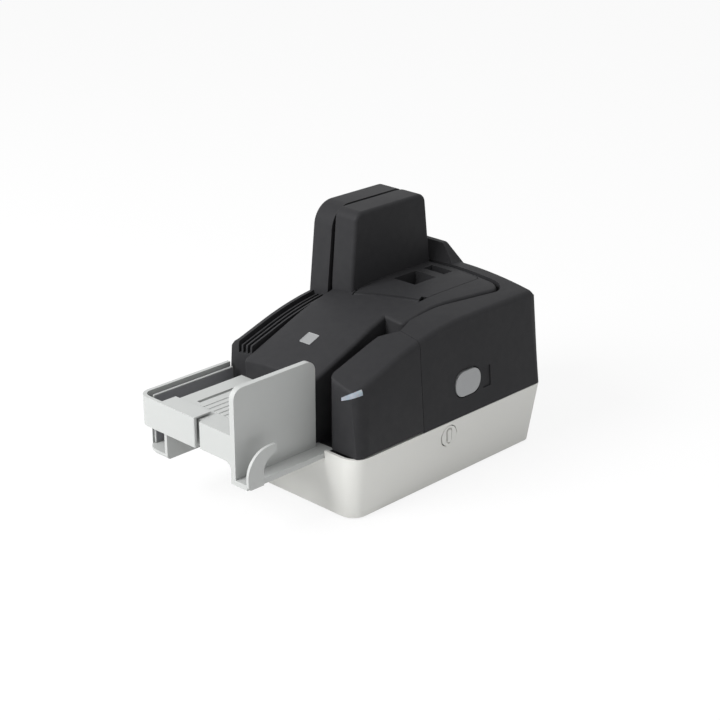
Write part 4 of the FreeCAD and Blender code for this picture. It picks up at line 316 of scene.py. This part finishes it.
def textured(tree, shader, place, pattern, roughness, vary, **values):
    """Lay a pattern group's height and gloss on a shader; vary is how much the gloss changes."""
    detail = node(tree, "ShaderNodeGroup", node_tree=pattern, Place=place, **values)
    rough = node(tree, "ShaderNodeMath", operation="MULTIPLY_ADD", i0=detail.outputs["Gloss"], i1=vary,
                 i2=roughness)
    bump = node(tree, "ShaderNodeBump", Height=detail.outputs["Height"], Distance=1.0, Strength=1.0)
    tree.links.new(rough.outputs[0], shader.inputs["Roughness"])
    tree.links.new(bump.outputs[0], shader.inputs["Normal"])


def plastic(name, tint, roughness, handled, specular, size=None, depth=None):
    """Moulded plastic with a fine texture and faint marks of handling."""
    finish = bpy.context.scene.scanner_finish
    material, tree, shader, place = blank_material(name)
    marks = node(tree, "ShaderNodeGroup", node_tree=handling_marks(), Place=place, Colour=(*tint, 1),
                 Amount=handled)
    tree.links.new(marks.outputs["Colour"], shader.inputs["Base Color"])
    textured(tree, shader, place, moulded_texture(), roughness=roughness, vary=0.12,
             Size=size or finish.grain_size, Depth=depth or finish.grain_depth)
    shader.inputs["Specular IOR Level"].default_value = specular
    return material


def rubber(name, tint, roughness):
    """Dull rubber with a soft sheen and dust."""
    material, tree, shader, place = blank_material(name)
    marks = node(tree, "ShaderNodeGroup", node_tree=handling_marks(), Place=place, Colour=(*tint, 1),
                 Amount=0.3)
    tree.links.new(marks.outputs["Colour"], shader.inputs["Base Color"])
    textured(tree, shader, place, moulded_texture(), roughness=roughness, vary=0.15,
             Size=0.0003, Depth=0.00002)
    shader.inputs["Specular IOR Level"].default_value = 0.25
    shader.inputs["Sheen Weight"].default_value = 0.1
    return material


def metal(name, tint, roughness):
    """Bare turned metal."""
    material, tree, shader, place = blank_material(name)
    marks = node(tree, "ShaderNodeGroup", node_tree=handling_marks(), Place=place, Colour=(*tint, 1),
                 Amount=0.1)
    tree.links.new(marks.outputs["Colour"], shader.inputs["Base Color"])
    textured(tree, shader, place, brushed_lines(), roughness=roughness, vary=0.15, Depth=0.000004)
    shader.inputs["Metallic"].default_value = 1.0
    return material


def silver_paint(name, tint):
    """Satin silver paint, with fine flakes."""
    material, tree, shader, place = blank_material(name)
    flakes = node(tree, "ShaderNodeTexVoronoi", Vector=place, Scale=5000.0)
    sparkle = node(tree, "ShaderNodeMapRange", Value=flakes.outputs["Distance"], To_Min=0.92, To_Max=1.1)
    shade = node(tree, "ShaderNodeMix", data_type="RGBA", blend_type="MULTIPLY", i0=1.0, i6=(*tint, 1),
                 i7=sparkle.outputs["Result"])
    tree.links.new(shade.outputs[2], shader.inputs["Base Color"])
    textured(tree, shader, place, moulded_texture(), roughness=0.42, vary=0.1, Size=0.0004, Depth=0.000008)
    shader.inputs["Metallic"].default_value = 0.45
    shader.inputs["Coat Weight"].default_value = 0.25
    shader.inputs["Coat Roughness"].default_value = 0.25
    return material


def clear_pipe(name, tint):
    """Frosted clear plastic that is lit by nothing."""
    material, tree, shader, place = blank_material(name)
    depth = node(tree, "ShaderNodeTexNoise", Vector=place, Scale=220.0, Detail=3.0)
    paler = [value * 1.6 for value in tint]
    milky = node(tree, "ShaderNodeMix", data_type="RGBA", i0=depth.outputs["Fac"], i6=(*tint, 1),
                 i7=(*paler, 1))
    tree.links.new(milky.outputs[2], shader.inputs["Base Color"])
    textured(tree, shader, place, moulded_texture(), roughness=0.18, vary=0.08, Size=0.0009, Depth=0.000006)
    shader.inputs["Subsurface Weight"].default_value = 0.25
    shader.inputs["Subsurface Scale"].default_value = 0.002
    shader.inputs["Coat Weight"].default_value = 0.6
    shader.inputs["Coat Roughness"].default_value = 0.08
    return material


def sensor_window(name, tint):
    """Hard, dark glass over an image sensor, with smears that dull it here and there."""
    material, tree, shader, place = blank_material(name)
    marks = node(tree, "ShaderNodeGroup", node_tree=handling_marks(), Place=place, Colour=(*tint, 1),
                 Amount=0.05)
    tree.links.new(marks.outputs["Colour"], shader.inputs["Base Color"])
    smears = node(tree, "ShaderNodeMath", operation="MULTIPLY_ADD", i0=marks.outputs["Mask"],
                  i1=0.06, i2=0.02)
    tree.links.new(smears.outputs[0], shader.inputs["Roughness"])
    shader.inputs["IOR"].default_value = 1.5
    shader.inputs["Coat Weight"].default_value = 0.8
    shader.inputs["Coat Roughness"].default_value = 0.03
    return material


def circuit_mask(name, tint):
    """Green solder mask with faint copper lines below it."""
    material, tree, shader, place = blank_material(name)
    darker = [value * 0.8 for value in tint]
    lines = node(tree, "ShaderNodeTexBrick", Vector=place, Scale=140.0, Mortar_Size=0.02,
                 Color1=(*tint, 1), Color2=(*darker, 1), Mortar=(0.05, 0.16, 0.06, 1))
    tree.links.new(lines.outputs["Color"], shader.inputs["Base Color"])
    textured(tree, shader, place, moulded_texture(), roughness=0.3, vary=0.1, Size=0.0008, Depth=0.00001)
    return material


def material_named(name):
    """A finish by name, made the first time that it is asked for."""
    found = bpy.data.materials.get(name)
    if found:
        return found
    tints = bpy.context.scene.scanner_finish
    makers = {
        "cover_plastic": lambda: plastic(name, tints.cover_black, 0.52, handled=0.02, specular=0.08),
        # The covers' rounded edges get a paler copy of the cover black, which is a painted highlight.
        "cover_edge_highlight": lambda: plastic(name, [
            value * (1 + tints.painted_edge_highlight) for value in tints.cover_black], 0.42, handled=0.05, specular=0.3),
        "path_plastic": lambda: plastic(
            name, tints.deep_black, 0.36, handled=0.03, specular=0.25, size=0.0009, depth=0.000006),
        "housing_plastic": lambda: plastic(name, tints.housing_grey, 0.5, handled=0.06, specular=0.35),
        "tray_plastic": lambda: plastic(name, tints.tray_grey, 0.44, handled=0.06, specular=0.4),
        "panel_plastic": lambda: plastic(name, tints.panel_grey, 0.4, handled=0.06, specular=0.4),
        "acetal": lambda: plastic(
            name, tints.acetal_white, 0.35, handled=0.05, specular=0.5, size=0.001, depth=0.000004),
        "button_paint": lambda: silver_paint(name, tints.button_silver),
        "badge_paint": lambda: plastic(
            name, tints.badge, 0.3, handled=0.04, specular=0.5, size=0.0005, depth=0.000003),
        "light_pipe": lambda: clear_pipe(name, tints.light_clear),
        "foot_rubber": lambda: rubber(name, tints.rubber_black, roughness=0.75),
        "tyre_rubber": lambda: rubber(name, tints.tyre_grey, roughness=0.65),
        "turned_steel": lambda: metal(name, tints.steel, roughness=0.24),
        "black_steel": lambda: metal(name, tints.black_steel, roughness=0.45),
        "zinc_plate": lambda: metal(name, tints.zinc, roughness=0.36),
        "sensor_window": lambda: sensor_window(name, tints.glass_tint),
        "solder_mask": lambda: circuit_mask(name, tints.board_green),
    }
    return makers[name]()


def paint(thing, *names):
    """Give an object its materials."""
    thing.data.materials.clear()
    for name in names:
        thing.data.materials.append(material_named(name))


def paint_nodes(finish, *nodes):
    """Give CAD nodes one finish."""
    for name in nodes:
        paint(frame["nodes"][name], finish)


# Meshes


def new_piece(name, mesh):
    """An object for a mesh, in the scene."""
    piece = bpy.data.objects.new(name, mesh)
    bpy.context.scene.collection.objects.link(piece)
    return piece


def carry(piece, body):
    """Let a finished piece ride on its body."""
    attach(piece, body)
    return piece


def softened(name, width, *finishes):
    """A copy of a CAD node whose sharp edges are rounded, which stands for that node."""
    mesh = frame["nodes"][name].data.copy()
    mesh.name = name + "_soft"
    shell = bmesh.new()
    shell.from_mesh(mesh)
    bmesh.ops.remove_doubles(shell, verts=shell.verts, dist=WELD)
    bmesh.ops.dissolve_degenerate(shell, edges=shell.edges, dist=TINY)
    bmesh.ops.dissolve_limit(shell, angle_limit=FLAT, verts=shell.verts, edges=shell.edges)
    for face in shell.faces:
        face.smooth = True
    for edge in shell.edges:
        edge.smooth = len(edge.link_faces) == 2 and edge.calc_face_angle(0) < SHARP
    shell.to_mesh(mesh)
    shell.free()
    if "custom_normal" in mesh.attributes:
        mesh.attributes.remove(mesh.attributes["custom_normal"])
    piece = new_piece(name + "_soft", mesh)
    paint(piece, *finishes)
    rounding = piece.modifiers.new("rounding", "BEVEL")
    rounding.width = width
    rounding.segments = 2
    rounding.limit_method = "ANGLE"
    rounding.angle_limit = SHARP
    rounding.harden_normals = True
    # The rounded edges take the last finish given. For the covers and the side panel that finish is paler,
    # painted as a highlight.
    rounding.material = len(finishes) - 1
    carry(piece, BODY[name])
    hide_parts(name)
    return piece


def grown_mesh(tree, name, inputs):
    """The plain mesh that a Geometry Nodes tree makes from its named inputs."""
    holder = new_piece(name, bpy.data.meshes.new(name + "_empty"))
    modifier = holder.modifiers.new("shape", "NODES")
    modifier.node_group = tree
    for item in tree.interface.items_tree:
        if item.item_type == "SOCKET" and item.in_out == "INPUT" and item.name in inputs:
            modifier[item.identifier] = inputs[item.name]
    bpy.context.view_layer.update()
    evaluated = holder.evaluated_get(bpy.context.evaluated_depsgraph_get())
    mesh = bpy.data.meshes.new_from_object(evaluated)
    mesh.name = name
    holder.modifiers.remove(modifier)
    holder.data = mesh
    return holder


def rounded_square(half, corner, steps=6):
    """Points round a square with rounded corners, from the lower right corner on."""
    flat = half - corner
    points = []
    for quarter, (x, y) in enumerate(((flat, -flat), (flat, flat), (-flat, flat), (-flat, -flat))):
        for step in range(steps + 1):
            angle = math.radians(90 * (quarter - 1 + step / steps))
            points.append((x + corner * math.cos(angle), y + corner * math.sin(angle)))
    return points


def badge_plate(name, host, trim):
    """A blank framed plate that lies on the sloping face of its host."""
    above = Vector((trim.badge_x, trim.badge_y, CAD_BOX[1].z))
    skin = BVHTree.FromPolygons(
        [vert.co for vert in host.vertices], [face.vertices for face in host.polygons])
    middle, upward, face, depth = skin.ray_cast(above, Vector((0, 0, -1)))
    across = (Vector((1, 0, 0)) - upward * upward.x).normalized()
    along = upward.cross(across)
    half, frame_width = trim.badge_width / 2, trim.badge_frame
    corner, height = trim.badge_corner, trim.badge_height
    bevel, least_corner = height / 3, corner / 4
    profile = (
        (0, -height), (0, height - bevel), (bevel, height), (frame_width, height),
        (frame_width + bevel, height - bevel),
    )
    plate = bmesh.new()
    rings = []
    for inset, rise in profile:
        rings.append([
            plate.verts.new(middle + across * x + along * y + upward * rise)
            for x, y in rounded_square(half - inset, max(corner - inset, least_corner))
        ])
    plate.faces.new(list(reversed(rings[0])))
    for lower, upper in zip(rings, rings[1:]):
        for i, vert in enumerate(lower):
            after = (i + 1) % len(lower)
            plate.faces.new((vert, lower[after], upper[after], upper[i]))
    plate.faces.new(rings[-1]).material_index = 1
    mesh = bpy.data.meshes.new(name)
    plate.to_mesh(mesh)
    plate.free()
    return new_piece(name, mesh)


def new_shape_tree(name, inputs):
    """An empty Geometry Nodes tree with its inputs and one geometry output."""
    tree = bpy.data.node_groups.new(name, "GeometryNodeTree")
    tree.interface.new_socket(name="Geometry", in_out="OUTPUT", socket_type="NodeSocketGeometry")
    for label, kind, default in inputs:
        socket = tree.interface.new_socket(name=label, in_out="INPUT", socket_type=kind)
        if default is not None:
            socket.default_value = default
    return tree, tree.nodes.new("NodeGroupInput"), tree.nodes.new("NodeGroupOutput")


@made_once
def tyre_tread(name):
    """Rings stacked up a roller's tyre: a circle swept into a ring, then set out along the roller."""
    tree, given, result = new_shape_tree(name, [
        ("Place", "NodeSocketVector", (0, 0, 0)),
        ("Radius", "NodeSocketFloat", 0.008),
        ("Wire", "NodeSocketFloat", 0.00022),
        ("Pitch", "NodeSocketFloat", 0.001),
        ("Rings", "NodeSocketInt", 7),
        ("Rubber", "NodeSocketMaterial", None),
    ])
    ring = node(tree, "GeometryNodeCurvePrimitiveCircle", Resolution=40, Radius=given.outputs["Radius"])
    wire = node(tree, "GeometryNodeCurvePrimitiveCircle", Resolution=6, Radius=given.outputs["Wire"])
    swept = node(tree, "GeometryNodeCurveToMesh", Curve=ring.outputs["Curve"], i1=wire.outputs["Curve"])
    step = node(tree, "ShaderNodeCombineXYZ", Z=given.outputs["Pitch"])
    row = node(tree, "GeometryNodeMeshLine", Count=given.outputs["Rings"],
               Start_Location=given.outputs["Place"], Offset=step.outputs[0])
    rings = node(tree, "GeometryNodeInstanceOnPoints", Points=row.outputs["Mesh"],
                 Instance=swept.outputs["Mesh"])
    real = node(tree, "GeometryNodeRealizeInstances", Geometry=rings.outputs["Instances"])
    dressed = node(tree, "GeometryNodeSetMaterial", Geometry=real.outputs["Geometry"],
                   Material=given.outputs["Rubber"])
    tree.links.new(dressed.outputs["Geometry"], result.inputs["Geometry"])
    return tree


@made_once
def socket_tongue(name):
    """The tongue of a socket: a block with contact strips set out in rows above and below it."""
    tree, given, result = new_shape_tree(name, [
        ("Place", "NodeSocketVector", (0, 0, 0)),
        ("Block", "NodeSocketVector", (0.005, 0.007, 0.003)),
        ("Strip", "NodeSocketVector", (0.001, 0.005, 0.0003)),
        ("Pitch", "NodeSocketFloat", 0.0025),
        ("Strips", "NodeSocketInt", 2),
        ("Body", "NodeSocketMaterial", None),
        ("Contact", "NodeSocketMaterial", None),
    ])
    block = node(tree, "GeometryNodeMeshCube", Size=given.outputs["Block"])
    dressed_block = node(tree, "GeometryNodeSetMaterial", Geometry=block.outputs["Mesh"],
                         Material=given.outputs["Body"])
    strip = node(tree, "GeometryNodeMeshCube", Size=given.outputs["Strip"])
    sizes = node(tree, "ShaderNodeSeparateXYZ", Vector=given.outputs["Block"])
    gaps = node(tree, "ShaderNodeMath", operation="SUBTRACT", i0=given.outputs["Strips"], i1=1.0)
    reach = node(tree, "ShaderNodeMath", operation="MULTIPLY", i0=gaps.outputs[0], i1=given.outputs["Pitch"])
    left = node(tree, "ShaderNodeMath", operation="MULTIPLY", i0=reach.outputs[0], i1=-0.5)
    step = node(tree, "ShaderNodeCombineXYZ", X=given.outputs["Pitch"])
    joined = tree.nodes.new("GeometryNodeJoinGeometry")
    for side in (-0.5, 0.5):
        rise = node(tree, "ShaderNodeMath", operation="MULTIPLY", i0=sizes.outputs["Z"], i1=side)
        start = node(tree, "ShaderNodeCombineXYZ", X=left.outputs[0], Z=rise.outputs[0])
        row = node(tree, "GeometryNodeMeshLine", Count=given.outputs["Strips"],
                   Start_Location=start.outputs[0], Offset=step.outputs[0])
        strips = node(tree, "GeometryNodeInstanceOnPoints", Points=row.outputs["Mesh"],
                      Instance=strip.outputs["Mesh"])
        real = node(tree, "GeometryNodeRealizeInstances", Geometry=strips.outputs["Instances"])
        dressed = node(tree, "GeometryNodeSetMaterial", Geometry=real.outputs["Geometry"],
                       Material=given.outputs["Contact"])
        tree.links.new(dressed.outputs["Geometry"], joined.inputs[0])
    tree.links.new(dressed_block.outputs["Geometry"], joined.inputs[0])
    moved = node(tree, "GeometryNodeTransform", Geometry=joined.outputs[0],
                 Translation=given.outputs["Place"])
    tree.links.new(moved.outputs["Geometry"], result.inputs["Geometry"])
    return tree


# Operators


class ScannerOperator(bpy.types.Operator):
    """What the scanner's operators share."""
    bl_options = {"REGISTER"}


class SCANNER_OT_covers(ScannerOperator):
    """Round the edges of the black covers and the reader, give them their textured plastic, and paint the
    rounded edges paler as a painted highlight
    """
    bl_idname = "scanner.covers"
    bl_label = "Black covers"

    def execute(self, context):
        trim = context.scene.scanner_trim
        for name in (
            "rear_post", "centre_cover", "imprinter_lid", "inner_reader_housing", "outer_reader_housing",
            "left_side_cover", "feeder_cover", "transport_cover",
        ):
            softened(name, trim.cover_edge, "cover_plastic", "cover_edge_highlight")
        return {"FINISHED"}


class SCANNER_OT_housing(ScannerOperator):
    """Dress the grey lower housing with its feet, plate, screws and sockets"""
    bl_idname = "scanner.housing"
    bl_label = "Lower housing"

    def execute(self, context):
        trim = context.scene.scanner_trim
        softened("lower_housing", trim.housing_edge, "housing_plastic")
        paint_nodes("foot_rubber", "rubber_feet")
        paint_nodes("path_plastic", "track_plate", "power_inlet")
        paint_nodes("zinc_plate", "plate_screws", "data_socket", "motor")
        paint_nodes("solder_mask", "circuit_board")
        paint_nodes("housing_plastic", "power_button")
        low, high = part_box("data_socket")
        middle = (low + high) / 2
        width, reach, height = high - low
        depth = reach * trim.tongue_length
        tongue = grown_mesh(socket_tongue(), "socket_tongue", {
            "Place": (middle.x, high.y - depth, middle.z),
            "Block": (width * trim.tongue_width, depth, height * trim.tongue_height),
            "Strip": (width * trim.contact_width, depth * trim.contact_length, trim.contact_height),
            "Pitch": width * trim.contact_pitch,
            "Body": material_named("path_plastic"),
            "Contact": material_named("zinc_plate"),
        })
        carry(tongue, BODY["data_socket"])
        return {"FINISHED"}


class SCANNER_OT_trays(ScannerOperator):
    """Dress the document tray, the exit tray with its dark panel and the panel's painted highlight rim, and
    the stopper
    """
    bl_idname = "scanner.trays"
    bl_label = "Trays"

    def execute(self, context):
        trim = context.scene.scanner_trim
        for name in ("document_tray", "exit_tray", "document_stopper"):
            softened(name, trim.tray_edge, "tray_plastic")
        # The side panel's rounded top and end edges take the pale tray plastic, which is a painted highlight
        # along its rim.
        softened("exit_side_panel", trim.painted_rim_width, "panel_plastic", "tray_plastic")
        return {"FINISHED"}


class SCANNER_OT_controls(ScannerOperator):
    """Dress the release button and the status light, and lay the blank badge on the centre cover"""
    bl_idname = "scanner.controls"
    bl_label = "Button, light and badge"

    def execute(self, context):
        trim = context.scene.scanner_trim
        paint_nodes("button_paint", "release_button")
        paint_nodes("light_pipe", "status_light")
        badge = badge_plate("blank_badge", frame["nodes"]["centre_cover"].data, trim)
        paint(badge, "button_paint", "badge_paint")
        carry(badge, BODY["centre_cover"])
        return {"FINISHED"}


class SCANNER_OT_rollers(ScannerOperator):
    """Dress the rollers, shafts and belt, and wrap tread rings round the driven tyres"""
    bl_idname = "scanner.rollers"
    bl_label = "Rollers and belt"

    def execute(self, context):
        trim = context.scene.scanner_trim
        nodes = frame["nodes"]
        driven = [name for name in nodes if name.endswith("drive_roller") or name == "feed_roller"]
        paint_nodes("tyre_rubber", *driven)
        paint_nodes("foot_rubber", "drive_belt")
        white = [name for name in nodes if name.endswith(("pinch_roller", "drive_shaft"))]
        paint_nodes("acetal", "feed_shaft", "motor_pulley", *white)
        for name in driven:
            low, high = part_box(name)
            middle = (low + high) / 2
            radius = (high.x - low.x) / 2 - trim.tread_wire * trim.tread_sunk
            first = low.z + trim.tread_pitch
            last = high.z - trim.tread_pitch * trim.tread_rings
            for end, start in (("low", first), ("high", last)):
                tread = grown_mesh(tyre_tread(), "%s_%s_tread" % (name, end), {
                    "Place": (middle.x, middle.y, start),
                    "Radius": radius,
                    "Wire": trim.tread_wire,
                    "Pitch": trim.tread_pitch,
                    "Rings": trim.tread_rings,
                    "Rubber": material_named("tyre_rubber"),
                })
                carry(tread, BODY[name])
        return {"FINISHED"}


class SCANNER_OT_reader_parts(ScannerOperator):
    """Dress what the reader and the imprinter hold: glasses, sensors, head, pins and cartridge"""
    bl_idname = "scanner.reader_parts"
    bl_label = "Inner parts"

    def execute(self, context):
        paint_nodes("sensor_window", "inner_sensor_glass", "outer_sensor_glass")
        paint_nodes("path_plastic", "inner_image_sensor", "outer_image_sensor", "ink_cartridge")
        paint_nodes("turned_steel", "magnetic_head", "reader_pinch_pins", "transport_pinch_pins")
        paint_nodes("black_steel", "transport_hinge_pin", "reader_hinge_pin", "lid_hinge_pin")
        return {"FINISHED"}


class SCANNER_OT_stage(ScannerOperator):
    """Set the object on a pale floor with soft lamps and the camera"""
    bl_idname = "scanner.stage"
    bl_label = "Floor, lamps and camera"

    def execute(self, context):
        scene = context.scene
        stage = scene.scanner_stage
        scene.view_settings.view_transform = "Standard"
        lay_floor(stage)
        light_room(scene, stage)
        aim_camera(scene, stage)
        return {"FINISHED"}


def seen_rays(tree):
    """A mask for the rays that show the background: to the camera, mirrored or through glass."""
    path = tree.nodes.new("ShaderNodeLightPath")
    first = node(tree, "ShaderNodeMath", operation="MAXIMUM", i0=path.outputs["Is Camera Ray"],
                 i1=path.outputs["Is Glossy Ray"])
    return node(tree, "ShaderNodeMath", operation="MAXIMUM", i0=first.outputs[0],
                i1=path.outputs["Is Transmission Ray"]).outputs[0]


def lay_floor(stage):
    """A wide pale floor that shows white and keeps a soft shadow."""
    half = stage.floor_size / 2
    mesh = bpy.data.meshes.new("floor")
    corners = [(-half, -half, 0), (half, -half, 0), (half, half, 0), (-half, half, 0)]
    mesh.from_pydata(corners, [], [(0, 1, 2, 3)])
    floor = new_piece("floor", mesh)
    material = bpy.data.materials.new("pale_floor")
    material.use_nodes = True
    tree = material.node_tree
    tree.nodes.clear()
    tone = stage.floor_tone
    dull = node(tree, "ShaderNodeBsdfDiffuse", Color=(tone, tone, tone, 1))
    white = node(tree, "ShaderNodeEmission", Color=(1, 1, 1, 1), Strength=1.0)
    amount = node(tree, "ShaderNodeMath", operation="MULTIPLY", i0=seen_rays(tree), i1=stage.floor_glow)
    mixed = node(tree, "ShaderNodeMixShader", i0=amount.outputs[0], i1=dull.outputs[0], i2=white.outputs[0])
    output = tree.nodes.new("ShaderNodeOutputMaterial")
    tree.links.new(mixed.outputs[0], output.inputs["Surface"])
    floor.data.materials.append(material)


def light_room(scene, stage):
    """Light from all round, stronger from above, and two soft lamps: front left, and a weak one right."""
    world = bpy.data.worlds.new("white_room")
    scene.world = world
    world.use_nodes = True
    tree = world.node_tree
    tree.nodes.clear()
    facing = tree.nodes.new("ShaderNodeTexCoord").outputs["Generated"]
    height = node(tree, "ShaderNodeSeparateXYZ", Vector=facing)
    power = node(tree, "ShaderNodeMapRange", Value=height.outputs["Z"], From_Min=0.0, From_Max=1.0,
                 To_Min=stage.sky_strength * stage.sky_low, To_Max=stage.sky_strength * stage.sky_high)
    even = node(tree, "ShaderNodeBackground", Color=(1, 1, 1, 1), Strength=power.outputs["Result"])
    seen = node(tree, "ShaderNodeBackground", Color=(1, 1, 1, 1), Strength=1.0)
    mixed = node(tree, "ShaderNodeMixShader", i0=seen_rays(tree), i1=even.outputs[0], i2=seen.outputs[0])
    output = tree.nodes.new("ShaderNodeOutputWorld")
    tree.links.new(mixed.outputs[0], output.inputs["Surface"])
    for name, spot, watts, size in (
        ("key_lamp", stage.key_place, stage.key_power, stage.key_size),
        ("fill_lamp", stage.fill_place, stage.fill_power, stage.fill_size),
    ):
        data = bpy.data.lights.new(name, "AREA")
        data.energy = watts
        data.size = size
        lamp = bpy.data.objects.new(name, data)
        lamp.location = spot
        lamp.rotation_euler = (Vector(stage.lamp_aim) - Vector(spot)).to_track_quat("-Z", "Y").to_euler()
        scene.collection.objects.link(lamp)


def aim_camera(scene, stage):
    """The camera at the photograph's place and angle."""
    data = bpy.data.cameras.new("camera")
    data.lens = stage.camera_lens
    data.sensor_width = 36
    camera = bpy.data.objects.new("camera", data)
    turn, rise = stage.camera_azimuth, stage.camera_elevation
    back = Vector((math.sin(turn) * math.cos(rise), -math.cos(turn) * math.cos(rise), math.sin(rise)))
    camera.location = stage.camera_place
    camera.rotation_euler = (-back).to_track_quat("-Z", "Y").to_euler()
    scene.collection.objects.link(camera)
    scene.camera = camera


OPERATORS = (
    SCANNER_OT_covers,
    SCANNER_OT_housing,
    SCANNER_OT_trays,
    SCANNER_OT_controls,
    SCANNER_OT_rollers,
    SCANNER_OT_reader_parts,
    SCANNER_OT_stage,
)


class SCANNER_PT_panel(bpy.types.Panel):
    """Lists the scanner's pieces and their settings."""
    bl_label = "Cheque scanner"
    bl_idname = "SCANNER_PT_panel"
    bl_space_type = "VIEW_3D"
    bl_region_type = "UI"
    bl_category = "Scanner"

    def draw(self, context):
        for operator in OPERATORS:
            self.layout.operator(operator.bl_idname)
        for group in settings(context):
            column = self.layout.column()
            for name in group.bl_rna.properties.keys():
                if name not in ("rna_type", "name"):
                    column.prop(group, name)


CLASSES = (ScannerFinish, ScannerTrim, ScannerStage, *OPERATORS, SCANNER_PT_panel)


def register():
    """Make the classes and their settings known to Blender."""
    for kind in CLASSES:
        bpy.utils.register_class(kind)
    bpy.types.Scene.scanner_finish = bpy.props.PointerProperty(type=ScannerFinish)
    bpy.types.Scene.scanner_trim = bpy.props.PointerProperty(type=ScannerTrim)
    bpy.types.Scene.scanner_stage = bpy.props.PointerProperty(type=ScannerStage)


def unregister():
    """Take the classes and their settings away again."""
    del bpy.types.Scene.scanner_stage
    del bpy.types.Scene.scanner_trim
    del bpy.types.Scene.scanner_finish
    for kind in reversed(CLASSES):
        bpy.utils.unregister_class(kind)


def main():
    """Register the add-on and dress every piece."""
    register()
    bpy.ops.scanner.covers()
    bpy.ops.scanner.housing()
    bpy.ops.scanner.trays()
    bpy.ops.scanner.controls()
    bpy.ops.scanner.rollers()
    bpy.ops.scanner.reader_parts()
    bpy.ops.scanner.stage()


if __name__ == "__main__":
    main()
